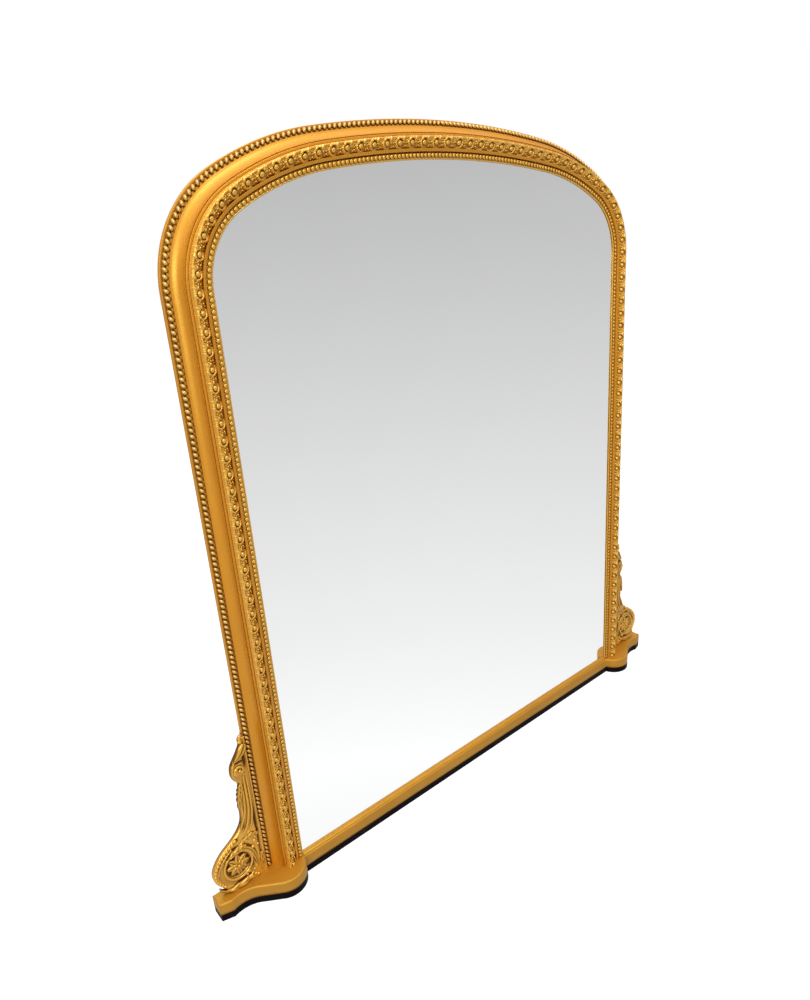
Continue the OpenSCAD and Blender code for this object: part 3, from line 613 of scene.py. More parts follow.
def round_cube(n):
    """Unit sphere: a cube with n x n quads a side, every point divided by its distance."""
    g = np.tan(np.linspace(-math.pi / 4, math.pi / 4, n + 1))
    a, b = (x.ravel() for x in np.meshgrid(g, g, indexing="ij"))
    one = np.ones_like(a)
    sides = ((a, b, one), (b, a, -one), (one, a, b), (-one, b, a), (b, one, a), (a, -one, b))
    points = np.concatenate([np.stack(side, 1) for side in sides])
    quads = np.concatenate([grid_quads(n + 1, n + 1) + k * len(a) for k in range(len(sides))])
    unique, index = np.unique(np.round(points, 6), axis=0, return_inverse=True)
    points = unique / np.linalg.norm(unique, axis=1, keepdims=True)
    quads = index.ravel()[quads]
    p, q, r = (points[quads[:, i]] for i in range(3))
    inward = (np.cross(q - p, r - q) * p).sum(1) < 0
    quads[inward] = quads[inward][:, ::-1]
    return points, quads


BALL, BALL_QUADS = round_cube(3)


def scatter(patches, centres, axes, hollow):
    """Puts a ball at every centre: centre + ball @ axes, for all of them at once."""
    points = centres[:, None, :] + np.einsum("pk,nkj->npj", BALL, axes)
    away = np.einsum("pk,nkj->npj", BALL, axes / np.sum(axes**2, axis=2, keepdims=True))
    away /= np.linalg.norm(away, axis=2, keepdims=True)
    shift = (np.arange(len(centres)) * len(BALL))[:, None, None]
    hollow = np.broadcast_to(hollow, points.shape[:2]).ravel()
    patches.add(points.reshape(-1, 3), (BALL_QUADS[None] + shift).reshape(-1, 4), hollow, away.reshape(-1, 3))


def bead_row(patches, span, offset, height, pitch, radii, lean=0.0, slant=0.0):
    """Beads along one span. `lean` turns a bead's own height towards the outside, in radians.

    `slant` turns a long bead in its own plane, so that its outer end points to the top of the arch.
    """
    ends = span_ends(offset)
    total = round(ends[-1] / pitch)
    s = (np.arange(total) + 0.5) * ends[-1] / total
    s = s[(s >= ends[span]) & (s < ends[span + 1])]
    point, normal = along(offset, s, span)
    centres = place(point, normal, np.full((len(s), 1), offset), np.array([height]))[:, 0]
    out, run = upright(normal[:, 0], normal[:, 1]), upright(-normal[:, 1], normal[:, 0])
    face = np.tile([0.0, -1.0, 0.0], (len(s), 1))
    up = math.cos(lean) * face + math.sin(lean) * out
    side = math.cos(lean) * out - math.sin(lean) * face
    turn = slant * np.sign(ends[-1] / 2 - s)[:, None]
    long_way = np.cos(turn) * side - np.sin(turn) * run
    short_way = np.cos(turn) * run + np.sin(turn) * side
    axes = np.stack([radii[0] * short_way, radii[1] * long_way, radii[2] * up], 1)
    # Painted shade on the half of each bead that faces its seat.
    scatter(patches, centres, axes, np.clip(0.9 - 1.25 * BALL[:, 2], 0, 1))
    return len(s)


# %% The outer string
BEAD_PITCH = 12 * MM
BEAD_OFFSET, BEAD_HEIGHT = 75.6 * MM, -27.8 * MM
BEAD_RADII = (3.9 * MM, 6.3 * MM, 5.2 * MM)
BEAD_LEAN, BEAD_SLANT = math.atan2(8.0, 9.4), math.radians(38)
NECK = soften([(73.0, -31.5), (77.5, -31.5), (77.8, -28.5), (73.3, -28.0)], 1.2)
PLACES = {"left": [0], "corner": [1, 5], "haunch": [2, 4], "crown": [3], "right": [6]}


def ornament_nodes(kind):
    """The nodes of a kind of ornament with their spans. Where there are two, the name is a plural."""
    return [("%s_%s%s" % (where, kind, "s" * (len(spans) - 1)), spans) for where, spans in PLACES.items()]


count = 0
for node, spans in ornament_nodes("bead_string"):
    patches = Patches()
    for span in spans:
        count += bead_row(
            patches, span, BEAD_OFFSET, BEAD_HEIGHT, BEAD_PITCH, BEAD_RADII, BEAD_LEAN, BEAD_SLANT
        )
        # The neck between the beads is all painted shade, so the gaps read dark.
        sweep(patches, NECK, span, 1.0)
    piece(patches.mesh(node + "_pearls", True), "gilded_composition", PEARL_GILT, stands_for=node)
print("outer beads:", count)

# %% The sight slip with its small beads
SLIP = soften([(0, 0), (0, 2.6), (1.8, 4.2), (3.0, 3.4), (12.6, 4.0), (13.2, 2.4), (15, 2.4), (15, 0)], 0.5)
# Painted shade where the slip meets the glass and the band, and along its hollow top.
SLIP_SHADE = shade_spots(SLIP, [
    (0, 0, 1.6, 1.0), (3.4, 3.4, 1.2, 0.5), (8, 3.8, 3.0, 0.6), (14, 2.4, 1.8, 1.0)
])
SMALL_PITCH = 10.3 * MM
SMALL_OFFSET, SMALL_HEIGHT = 8.2 * MM, 4.6 * MM
SMALL_RADII = (4.3 * MM, 4.5 * MM, 3.2 * MM)
count = 0
for node, spans in ornament_nodes("sight_slip"):
    patches = Patches()
    for span in spans:
        sweep(patches, SLIP, span, SLIP_SHADE)
        count += bead_row(patches, span, SMALL_OFFSET, SMALL_HEIGHT, SMALL_PITCH, SMALL_RADII)
    piece(patches.mesh(node + "_beaded", True), "gilded_composition", ORNAMENT_GILT, stands_for=node)
print("small beads:", count)

# %% [markdown]
# ## The band of berries and leaves
#
# Composition ornament is pressed in a carved mould, so one length repeats every few centimetres. A
# round berry sits in a cupped leaf that is open on one side, the leaf's lobes fan out towards the
# outside, and a little cluster of curled tips fills the space between two berries.
#
# It could be sculpted once and copied, but a copy has to bend round the arch. Such a low relief is
# better told as a height over a flat strip: at every point the highest of many small domes wins.
# The strip is then laid along the frame's line, so the same sum serves stiles and arch.

# %% One repeat of the relief, in millimetres
BAND_PITCH, BAND_HALF, BAND_MIDDLE = 33.6, 12.1, 33.5
LEAN = 4.0
BERRY_Y, BERRY_R, BERRY_FOOT, BERRY_TOP = -0.8, 6.2, 7.0, 14.2
CUP_R, CUP_WIDTH, CUP_FOOT, CUP_TOP, CUP_OPEN = 9.2, 3.0, 5.0, 13.6, math.radians(-35)
LOBE_SHARP, CREASE_DEPTH, CREASE_W = 0.42, 0.8, 0.7
VEINS, VEIN_DEPTH, VEIN_REACH = 18, 0.6, 15
# The ground under the leaves, as (y, height): low along the inner side, and rising to the outer.
BED = ((-BAND_HALF, 2.4), (-9, 4.6), (0, 7.2), (4.5, 11.0), (8.5, 15.4), (10.5, 14.6), (BAND_HALF, 5.0))
# Each lobe of the leaf: direction from the berry in degrees, distance, length, width, foot, top.
LOBES = (
    (90, 8.0, 4.4, 5.0, 12, 16.4), (48, 10.2, 5.0, 4.8, 12, 16.6), (132, 10.2, 5.0, 4.8, 12, 16.6),
    (8, 11.0, 4.4, 3.6, 7, 13.0), (172, 11.0, 4.4, 3.6, 7, 13.0)
)
# The curled tips and small beads between two berries: x, y, radii, turn, foot, top.
TIPS = (
    (16.8, -1.2, 2.4, 2.4, 0, 7, 12.4), (14.4, 3.2, 2.2, 2.6, 0, 8, 13.4), (19.2, 3.2, 2.2, 2.6, 0, 8, 13.4),
    (16.8, -6.6, 3.0, 2.2, 0, 5, 10.4), (12.4, -8.8, 2.0, 1.6, 0, 3, 8.0), (21.2, -8.8, 2.0, 1.6, 0, 3, 8.0)
)


def dome(x, y, cx, cy, along_r, across_r, turn, foot, top, sharp=0.5):
    """Height of one dome: foot + (top - foot) * (1 - d^2)^sharp, d the distance in its radii."""
    c, s = math.cos(turn), math.sin(turn)
    dx, dy = x - cx, y - cy
    d2 = ((c * dx + s * dy) / along_r) ** 2 + ((-s * dx + c * dy) / across_r) ** 2
    return np.where(d2 < 1, foot + (top - foot) * np.clip(1 - d2, 0, 1) ** sharp, -np.inf)


def leaf_lobe(x, y, angle, distance, length, width, foot, top):
    """A fat lobe of the cup leaf: a dome that leans on the berry, creased along its middle."""
    cx, cy = distance * math.cos(angle), BERRY_Y + distance * math.sin(angle)
    across = -math.sin(angle) * (x - cx) + math.cos(angle) * (y - cy)
    crease = CREASE_DEPTH * np.exp(-((across / CREASE_W) ** 2))
    return dome(x, y, cx, cy, length, width, angle, foot, top, LOBE_SHARP) - crease


def bed(y):
    """Height of the ground under the leaves."""
    return np.interp(y, *zip(*BED))


def band_relief(x, y):
    """Height of the ornament above its seat; x runs along the band from a berry, y outward.

    The outer lobes lean along the band by LEAN, and fine veins run out from the berry. The cup is
    a ring round the berry, and its height falls from CUP_TOP to CUP_FOOT on its open side.
    """
    x, y = np.broadcast_arrays(x, y)
    leaned = x - LEAN * np.clip(y / BAND_HALF, 0, 1)
    height = bed(y)
    for shift in (-BAND_PITCH, 0, BAND_PITCH):
        for degrees, *form in LOBES:
            height = np.maximum(height, leaf_lobe(leaned - shift, y, math.radians(degrees), *form))
        for cx, cy, *form in TIPS:
            height = np.maximum(height, dome(x, y, cx + shift, cy, *form))
    ring, angle = np.hypot(x, y - BERRY_Y), np.arctan2(y - BERRY_Y, x)
    veins = 0.5 + 0.5 * np.cos(VEINS * angle)
    cup = 1 - ((ring - CUP_R - 0.8 * veins) / CUP_WIDTH) ** 2
    closed = 0.5 - 0.5 * np.cos(angle - CUP_OPEN)
    cup_height = CUP_FOOT + (CUP_TOP - CUP_FOOT) * closed * np.clip(cup, 0, 1) ** 0.5
    height = np.where(cup > 0, np.maximum(height, cup_height), height)
    veined = np.clip((ring - CUP_R) / 2, 0, 1) * np.clip((VEIN_REACH - ring) / 2, 0, 1)
    height = height - VEIN_DEPTH * (1 - veins) * veined
    height = np.where(ring < BERRY_R + 0.6, np.minimum(height, BERRY_FOOT), height)
    return np.maximum(height, dome(x, y, 0, BERRY_Y, BERRY_R, BERRY_R, 0, BERRY_FOOT, BERRY_TOP))


# %% Lay the relief along the frame
ROWS_PER_REPEAT, BAND_COLS = 40, 33
NUDGE = 0.25


def band_tube(span):
    """Points, hollow and normals of the relief over one span.

    Point = sight-edge point + u * outward normal - v * Y, with v the relief's height over its
    seat. The normal comes from the slopes along and across, which are differences over a NUDGE.
    """
    offset = BAND_MIDDLE * MM
    ends = span_ends(offset)
    repeats = round(ends[-1] / (BAND_PITCH * MM))
    step = ends[-1] / repeats / ROWS_PER_REPEAT
    first, last = math.ceil(ends[span] / step - 1e-6), math.floor(ends[span + 1] / step + 1e-6)
    s = np.concatenate([[ends[span]], np.arange(first, last + 1) * step, [ends[span + 1]]])
    s = np.unique(s.round(9))
    towards_top = np.sign(ends[-1] / 2 - s)
    phase = (s / ends[-1] * repeats + 0.5) % 1 - 0.5
    x = (phase * towards_top)[:, None] * BAND_PITCH
    y = np.linspace(-BAND_HALF, BAND_HALF, BAND_COLS)[None, :]
    height = band_relief(x, y)
    slope_x = (band_relief(x + NUDGE, y) - band_relief(x - NUDGE, y)) / (2 * NUDGE)
    slope_y = (band_relief(x, y + NUDGE) - band_relief(x, y - NUDGE)) / (2 * NUDGE)
    point, normal = along(offset, s, span)
    u = np.broadcast_to((BAND_MIDDLE + y) * MM, height.shape)
    top = place(point, normal, u, (BAND_V + height) * MM)
    out = upright(normal[:, 0], normal[:, 1])[:, None, :]
    run = upright(normal[:, 1], -normal[:, 0])[:, None, :] * towards_top[:, None, None]
    tilt = -slope_x[..., None] * run - slope_y[..., None] * out + np.array([0, -1.0, 0])
    tilt /= np.linalg.norm(tilt, axis=2, keepdims=True)
    # Painted shade: in the low places between the leaves, stronger towards the inner side, which faces down
    # on the head, and in a ring round the foot of each berry. The hidden seat is all shade.
    low = np.clip((bed(y) + 3.2 - height) / 3.2, 0, 1) * np.clip(0.5 - y / 16, 0.2, 1)
    ring = np.hypot(x, y - BERRY_Y)
    shade_paint = np.maximum(0.6 * low, 0.8 * np.exp(-(((ring - BERRY_R - 0.3) / 1.1) ** 2)))
    seat = place(point, normal, u[:, [-1, 0]], np.full((len(s), 2), BAND_V * MM))
    sides = np.concatenate([out, -out], 1)
    return (np.concatenate([top, seat], 1), np.concatenate([shade_paint, np.ones((len(s), 2))], 1),
            np.concatenate([tilt, sides], 1))


for node, spans in ornament_nodes("leaf_band"):
    patches = Patches()
    for span in spans:
        patches.tube(*band_tube(span))
    mesh = patches.mesh(node + "_relief", keep_normals=True)
    piece(mesh, "gilded_composition", ORNAMENT_GILT, stands_for=node)
    print(node, len(mesh.polygons), "faces")

# %% [markdown]
# ## The plinth
#
# The plinth is a thick board sawn to a plan of straight and curved stretches: a round lobe under
# each stile, a straight flank, a hollow scallop, and a canted end. Its top edge is rubbed round,
# so it catches a line of light. An extruded curve with a bevel would look the same, but here the
# plan's own rings are moved inward, and the brush streaks can follow the distance round them.

# %% Half of the plan, from the middle of the front to the middle of the back
LOBE, LOBE_R = np.array([650.0, 2.0]), 52
FLANK, FLANK_RUN = math.radians(33.4), 53
SCALLOP_R, SCALLOP_TURN = 75, math.radians(18)
END_FACE, END_CANT = 29.5, math.radians(16)
PLINTH_FRONT, PLINTH_EDGE = -12, 4.0
SOLE_H, FOOT_H = 18, 6
LONG_POINTS, LOBE_POINTS, SCALLOP_POINTS, FLANK_POINTS = 24, 22, 16, 6


def arc(centre, radius, start, end, count):
    """Points of an arc from angle start to angle end: centre + radius * (cos a, sin a)."""
    a = np.linspace(start, end, count)
    return centre + radius * np.stack([np.cos(a), np.sin(a)], 1)


def half_plan():
    """The right half of the plan in millimetres, X to the right and Y to the back."""
    away = np.array([math.sin(FLANK), -math.cos(FLANK)])
    flank_end = LOBE + LOBE_R * away + FLANK_RUN * np.array([math.cos(FLANK), math.sin(FLANK)])
    scallop = flank_end + SCALLOP_R * away
    lobe_start = math.pi + math.asin((LOBE[1] - PLINTH_FRONT) / LOBE_R)
    lobe = arc(LOBE, LOBE_R, lobe_start, 1.5 * math.pi + FLANK, LOBE_POINTS)
    hollow = arc(scallop, SCALLOP_R, math.pi / 2 + FLANK, math.pi / 2 - SCALLOP_TURN, SCALLOP_POINTS)
    corner = hollow[-1] + END_FACE * np.array([math.cos(END_CANT), math.sin(END_CANT)])
    front_x = np.linspace(0, lobe[0, 0], LONG_POINTS)[:-1]
    front = np.stack([front_x, np.full(len(front_x), PLINTH_FRONT)], 1)
    back = np.stack([np.linspace(corner[0], 0, LONG_POINTS), np.full(LONG_POINTS, FRAME_BACK)], 1)
    flank = lobe[-1] + np.linspace(0, 1, FLANK_POINTS)[1:-1, None] * (hollow[0] - lobe[-1])
    side = np.array([corner, corner * 0.5 + 0.5 * back[0]])
    return np.concatenate([front, lobe, flank, hollow, side, back])


right = half_plan()
PLAN = np.concatenate([right, right[-2:0:-1] * [-1, 1]])
print("points in the plan:", len(PLAN))

# %% Raise the plinth from its plan
quarter = np.linspace(0, math.pi / 2, 5)
inset = np.concatenate([[0, 0], PLINTH_EDGE * (1 - np.cos(quarter))])
height = np.concatenate([[SOLE_H, SOLE_H + FOOT_H], BASE_Z / MM - PLINTH_EDGE * (1 - np.sin(quarter))])
rings = PLAN[None] - inset[:, None, None] * outline_normals(PLAN)[None]
levels = np.broadcast_to(height[:, None, None], rings.shape[:2] + (1,))
patches = Patches()
# The plinth's foot, where it stands on the sole, is darkened with painted shade that fades over the height of
# the foot.
patches.tube(
    np.concatenate([rings, levels], 2) * MM, np.where(height <= SOLE_H, 0.7, 0.0)[:, None],
    path=np.stack(np.broadcast_arrays(walked(PLAN)[None], height[:, None]), -1) * MM
)
piece(patches.mesh("plinth_gilt"), "gilded_pine", WORN_GILT, stands_for="plinth")
print("plinth raised to %.1f mm" % height[-1])

# %% [markdown]
# ## The carved brackets
#
# Each bracket starts as a sawn board. The carver backs it off behind, so that it looks thin, sinks
# the ground, and leaves rolls and leaves standing. Pearls run round the outer arris of the volute,
# a rosette fills its middle, and a small scroll with a leaf over it ends the top.
#
# Sculpting would give this too, but not the same shape each time and not its mirror image. Four
# kinds of form make all of it: the board, rolls (round mouldings that are half sunk in the ground
# along a path), blades (leaves with a rib and lobed edges) and balls.

# %% The sawn outline, in millimetres out from the stile and up from the plinth
STILE_X, FACE_Y = HALF_W / MM + FRAME_U, 19
BACK_OFF, CARVED_T, BACK_STEP = 14, 12, 2.0
VOLUTE, SCROLL = np.array([66.4, 61.0]), np.array([24.5, 299.0])
# From the top down: the bud, the scroll, the neck, the leaf, the sweep, the volute.
OUTER = (
    (4, 376), (12.5, 374), (14.5, 368), (14.2, 360), (17.5, 350), (25.9, 338), (34.6, 326), (41.6, 314),
    (44.2, 302), (44.2, 290), (40.5, 278), (32.8, 267), (31.5, 256), (32.5, 245), (34.5, 232), (36.5, 220),
    (39.4, 208), (39.5, 197), (39, 188), (39.8, 175), (43, 162), (49.4, 150), (58, 140), (69.3, 130),
    (83.9, 120), (98.4, 110), (110.5, 98), (120.4, 84), (125.9, 70), (126.6, 56), (123, 42), (114, 28),
    (103, 14), (93, 4), (88, 0)
)
# Deep cuts in the ground: x, z and their two half widths.
POCKETS = (
    (41, 154, 5, 9), (61, 125, 5, 6), (9, 105, 2.6, 92), (25, 318, 18, 3.4), (9, 330, 3, 28), (34, 42, 5, 16)
)
BOARD_ROWS, BOARD_COLS = 300, 56
TRUNK_FOOT, TRUNK_BLEND = 128, 20
CHANNEL_R, CHANNEL_W, COIL_R, COIL_BLEND = 36, 17, 34, 4


def to_world(side, x, forward, z):
    """World point of a place on a bracket: x out from the stile, forward of its face, z up."""
    return np.stack(np.broadcast_arrays(side * (STILE_X + x), FACE_Y - forward, z + BASE_Z / MM), -1) * MM


def curve(points, count):
    """A smooth path through control points, by Catmull and Rom's cubic between each two of them."""
    p = np.asarray(points, float)
    p = np.concatenate([2 * p[:1] - p[1:2], p, 2 * p[-1:] - p[-2:-1]])
    s = np.linspace(0, len(p) - 3 - 1e-9, count)
    k = s.astype(int)
    t = (s - k)[:, None]
    a, b, c, d = p[k], p[k + 1], p[k + 2], p[k + 3]
    return 0.5 * (2 * b + (c - a) * t + (2 * a - 5 * b + 4 * c - d) * t**2 + (3 * b - a - 3 * c + d) * t**3)


EDGE = curve(OUTER, 600)
print("bracket %.0f mm wide, %.0f mm high" % tuple(EDGE.max(0)))

# %% The board


def board(patches, side):
    """The board: each level is a loop across the carved face, round the arris and along the back.

    The face falls away near the edge on a parabola, and the ground is sunk between the ribs of the
    trunk, in the channel of the volute, inside its coil and in the pockets. `steep` turns level
    distances into distances square to a slanting edge.
    """
    z = np.linspace(0.0, OUTER[0][1] - 0.3, BOARD_ROWS)[:, None]
    edge = np.interp(z, EDGE[::-1, 1], EDGE[::-1, 0])
    x = edge * (1 - np.linspace(1, 0, BOARD_COLS)[None] ** 1.4)
    steep = np.sqrt(1 + np.gradient(edge[:, 0], z[:, 0])[:, None] ** 2)
    inside = (edge - x) / steep
    r = np.hypot((x - VOLUTE[0]) / 0.95, z - VOLUTE[1])
    trunk = np.clip((z - TRUNK_FOOT) / TRUNK_BLEND, 0, 1)
    rim = 1 - np.clip(inside / (4.5 + 3 * trunk), 0, 1)
    channel = (1 - trunk) * np.sin(math.pi * np.clip((r - CHANNEL_R) / CHANNEL_W, 0, 1))
    coil = (1 - trunk) * np.clip((COIL_R - r) / COIL_BLEND, 0, 1)
    pocket = 0 * x
    for at_x, at_z, wide, high in POCKETS:
        pocket = np.maximum(pocket, np.exp(-(((x - at_x) / wide) ** 2 + ((z - at_z) / high) ** 4)))
    face = -(3.0 + 4.0 * trunk) * rim**2 - 2.0 * trunk * np.clip(inside / 4 - 1, 0, 1)
    face = face - 4.0 * channel - 5.0 * coil - 4.5 * pocket
    # Painted shade: darker the deeper the face is sunk, most in the pockets, and less on the rounded rim. The
    # back and sides of the board get a fixed share.
    shade_paint = np.clip(0.05 - face / 6 - 0.25 * rim - 0.3 * channel + 0.3 * pocket, 0, 1)
    inner_x = np.maximum(edge - BACK_OFF * steep, 1.0)
    back_x = np.concatenate([edge, inner_x, inner_x, 0 * edge], 1)
    wall = FACE_Y - FRAME_BACK
    back = np.array([-CARVED_T, -CARVED_T - BACK_STEP, wall, wall]) + 0 * z
    shade_paint = np.concatenate([shade_paint, 0.6 + 0 * back], 1)
    patches.tube(to_world(side, np.concatenate([x, back_x], 1), np.concatenate([face, back], 1), z), shade_paint)


# %% Rolls, blades and balls
ROLL_SIDES, BLADE_COLS, BLADE_SINK = 9, 15, 3.0


def across(path):
    """Unit normals of a flat path, a quarter turn from its direction."""
    along_it = np.gradient(path, axis=0)
    along_it /= np.linalg.norm(along_it, axis=1, keepdims=True) + 1e-12
    return np.stack([-along_it[:, 1], along_it[:, 0]], 1)


def roll(patches, side, path, radius, lift):
    """A round moulding along a path: path + r * (cos a * normal, sin a forward)."""
    radius = np.broadcast_to(radius, len(path))[:, None]
    a = np.linspace(0, 2 * math.pi, ROLL_SIDES, endpoint=False)[None]
    flat = path[:, None, :] + (radius * np.cos(a))[..., None] * across(path)[:, None, :]
    # Painted shade on the half of the roll that faces the ground.
    shade_paint = np.clip(0.75 - 1.1 * np.sin(a), 0, 1)
    patches.tube(to_world(side, flat[..., 0], lift + radius * np.sin(a), flat[..., 1]), shade_paint)


def blade(patches, side, points, half, rise, lift, lobes=0, ribs=0, rows=30):
    """A leaf along a path: half width half * sin(pi s)^0.7, pinched between its lobes.

    Its height is lift + rise * sqrt(1 - t^2) across, less a groove down the middle, with veins
    that run out and forward to the lobes.
    """
    path = curve(points, rows)
    s = np.linspace(0, 1, rows)[:, None]
    t = np.linspace(-1, 1, BLADE_COLS)[None]
    swell = np.sin(math.pi * (0.10 + 0.899 * s) ** 0.85) ** 0.7
    width = half * swell * (1 - 0.26 * (0.5 + 0.5 * np.cos(2 * math.pi * lobes * s)) * (lobes > 0))
    body = np.sqrt(1 - t**2) * swell**0.5
    groove = np.exp(-((t / 0.16) ** 2))
    vein = 0.5 + 0.5 * np.cos(2 * math.pi * (max(lobes, ribs) * s + 0.9 * np.abs(t)))
    height = lift + rise * body * (1 - 0.30 * groove - 0.22 * vein * (lobes + ribs > 0))
    # Painted shade at the edges, down the middle groove and in the veins; the sunk seat below is all shade.
    shade_paint = np.clip(0.9 * np.abs(t) ** 3 + 0.7 * groove + 0.5 * vein - 0.15, 0, 1)
    flat = path[:, None, :] + (t * width)[..., None] * across(path)[:, None, :]
    flat = np.concatenate([flat, flat[:, [-1, 0]]], 1)
    height = np.concatenate([height, np.full((rows, 2), lift - BLADE_SINK)], 1)
    shade_paint = np.concatenate([shade_paint, np.ones((rows, 2))], 1)
    patches.tube(to_world(side, flat[..., 0], height, flat[..., 1]), shade_paint)


def balls(patches, side, places, radius, lift):
    """Round berries or pearls at flat places."""
    places = np.asarray(places, float)
    radius = np.broadcast_to(radius, len(places))
    centres = to_world(side, places[:, 0], lift, places[:, 1])
    axes = np.eye(3)[None] * radius[:, None, None] * MM
    # Painted shade on the back half of each ball, which faces the ground.
    scatter(patches, centres, axes, np.clip(0.5 + 0.9 * BALL[:, 1], 0, 1))


# %% Paths on the bracket


def outline_path(inset, top, bottom, count):
    """The outline between two heights, moved inward, in equal steps."""
    path = EDGE - inset * across(EDGE)
    path = path[(EDGE[:, 1] <= top) & (EDGE[:, 1] >= bottom)]
    run = walked(path)
    s = np.linspace(0, run[-1], count)
    return np.stack([np.interp(s, run, path[:, i]) for i in range(2)], 1)


def spiral(centre, start, turns, outer, inner, count, squash=1.0):
    """A path that winds inward while its radius falls evenly, clockwise for positive turns."""
    t = np.linspace(0, 1, count)
    a, r = start - 2 * math.pi * turns * t, outer + (inner - outer) * t
    return centre + np.stack([r * np.cos(a), r * squash * np.sin(a)], 1)


# Ribs of the trunk: path and radius. They thin out at both ends.
RIBS = (
    ([(3.2, 372), (3.0, 300), (3.2, 200), (4.8, 120), (5.0, 20)], 1.7),
    ([(12, 286), (11.5, 230), (13, 180), (22, 142), (38, 120)], 2.6),
    ([(19, 280), (18.5, 230), (21, 185), (31, 148), (48, 124)], 3.2),
    ([(27, 274), (25.5, 240), (29, 190), (38, 166), (50, 140)], 2.6)
)
RIB_ROWS = 80
RIB_TAPER = np.interp(np.arange(RIB_ROWS), [0, 10, 68, 79], [0.5, 1, 1, 0.5])
# Rolls inside the outline: inset, top, bottom, rows, then radius and lift.
EDGE_ROLLS = (
    ((5.0, 350, 268, 60), 2.8, -5.2), ((4.2, 264, 150, 60), 2.2, -5.8), ((12.5, 121, 60, 50), 2.2, -0.6)
)
# Leaves, from the top down: path, half width, rise, lift, lobes, ribs.
LEAVES = (
    ([(5, 361), (11, 349), (19, 338), (33, 324)], 11.5, 8.5, -2.5, 0, 0),
    ([(28, 264), (31, 248), (36, 228), (42, 199)], 8.6, 6, -2.0, 5, 0),
    ([(9, 118), (26, 121), (44, 117), (62, 108)], 9, 7, -1.0, 5, 0),
    ([(42, 104), (58, 103), (75, 99), (92, 88)], 9, 9, -0.5, 0, 4),
    ([(46, 98), (31, 80), (23, 52), (20, 20)], 6.5, 6, -2.0, 0, 0),
    ([(8, 60), (8, 42), (10, 24), (17, 7)], 6.5, 6, -2.0, 0, 3),
    ([(38, 15), (54, 9), (74, 7), (92, 7), (107, 12)], 8.0, 9, -1.0, 0, 3),
    ([(88, 5), (102, 6), (112, 11), (117, 21)], 5.5, 5, -6.0, 0, 0)
)
# Berries: places, radii, lift.
BERRIES = (
    ([(21, 102), (26, 88), (14, 88)], (5.0, 4.6, 3.4), 0.5),
    ([(30, 10), (37, 17), (24, 5), (44, 28), (31, 25), (50, 22)], (4.4, 4.2, 4.0, 3.6, 3.6, 3.4), 0.0),
    ([(12.5, 369), (12, 377), (10.5, 382)], (5.2, 4.6, 4.4), -1.0)
)
# Two rings of petals: start and end from the middle, half width, rise, lift, turn in steps.
PETALS, PETAL_RINGS = 8, ((7, 29, 8.6, 7.5, -4.5, 0.0), (4, 16, 4.6, 6.0, -1.0, 0.5))
PEARLS = 16
print("leaves:", len(LEAVES), "berries:", sum(len(berry[0]) for berry in BERRIES))

# %% Carve both brackets
for name, side in (("left", -1), ("right", 1)):
    patches = Patches()
    board(patches, side)
    for points, radius in RIBS:
        roll(patches, side, curve(points, RIB_ROWS), radius * RIB_TAPER, -1.0)
    for stretch, radius, lift in EDGE_ROLLS:
        roll(patches, side, outline_path(*stretch), radius, lift)
    mesh = patches.mesh(name + "_bracket_board")
    piece(mesh, "gilded_pine", ORNAMENT_GILT, stands_for=name + "_bracket")

    patches = Patches()
    balls(patches, side, outline_path(5.0, 131, 20, PEARLS), np.linspace(4.8, 4.0, PEARLS), -1.4)
    roll(patches, side, spiral(VOLUTE, math.radians(60), 1.0, 34.5, 33.5, 80, 1.06), 3.4, -0.2)
    coil = spiral(SCROLL, math.radians(-60), -1.3, 12.0, 6.0, 70)
    roll(patches, side, coil, np.linspace(3.6, 2.4, len(coil)), -0.6)
    balls(patches, side, [SCROLL], 4.2, 1.0)
    mesh = patches.mesh(name + "_volute_mouldings")
    piece(mesh, "gilded_composition", ORNAMENT_GILT, stands_for=name + "_volute_rim")

    patches = Patches()
    for leaf in LEAVES:
        blade(patches, side, *leaf)
    for berries in BERRIES:
        balls(patches, side, *berries)
    piece(patches.mesh(name + "_leaves"), "gilded_composition", ORNAMENT_GILT)

    patches = Patches()
    for start, end, *form, phase in PETAL_RINGS:
        for turn in (np.arange(PETALS) + phase) * 2 * math.pi / PETALS:
            ray = np.array([math.cos(turn), math.sin(turn)])
            petal = [VOLUTE + reach * ray for reach in (start, (start + end) / 2, end)]
            blade(patches, side, petal, *form, rows=14)
    balls(patches, side, [VOLUTE], 4.2, 3.5)
    mesh = patches.mesh(name + "_rosette_petals")
    piece(mesh, "gilded_composition", ORNAMENT_GILT, stands_for=name + "_rosette")
print("brackets carved")

# %% [markdown]
# ## Finishes on the constructed pieces
#
# The sole, the glass, the slip at its foot and everything on the back are plain boards, plates and
# bent metal. They could be drawn again, but their constructed shape is already right, so they keep
# it and only get their finish.

# %% Paint the kept nodes
KEPT = {
    "sole_board": EBONISED, "bottom_rail": RAIL_PINE, "foot_slip": WORN_GILT,
    "mirror_glass": SILVERED, "glazing_blocks": RAIL_PINE, "backboards": BACK_PINE,
    "backboard_screws": SCREW_STEEL, "joint_tongues": RAIL_PINE, "plinth_screws": SCREW_STEEL,
    "left_hanger_strap": HANGER_BRASS, "right_hanger_strap": HANGER_BRASS,
    "left_hanger_ring": HANGER_BRASS, "right_hanger_ring": HANGER_BRASS, "hanger_screws": SCREW_STEEL
}
for node, finish in KEPT.items():
    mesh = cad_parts[node].data
    mesh.materials.clear()
    mesh.materials.append(finish)
print("kept nodes painted:", len(KEPT))

# %% [markdown]
# ## The studio
#
# A pale floor, a white surround and soft lamps from above. The mirror shows whatever lies in front
# of it, and in a plain room that is a grey wall that grows lighter down to the floor. Such a room
# could be built, but its corners would show in other views. So the floor isn't there for the
# mirror, which sees a gradient in the surround instead, while the camera sees white.

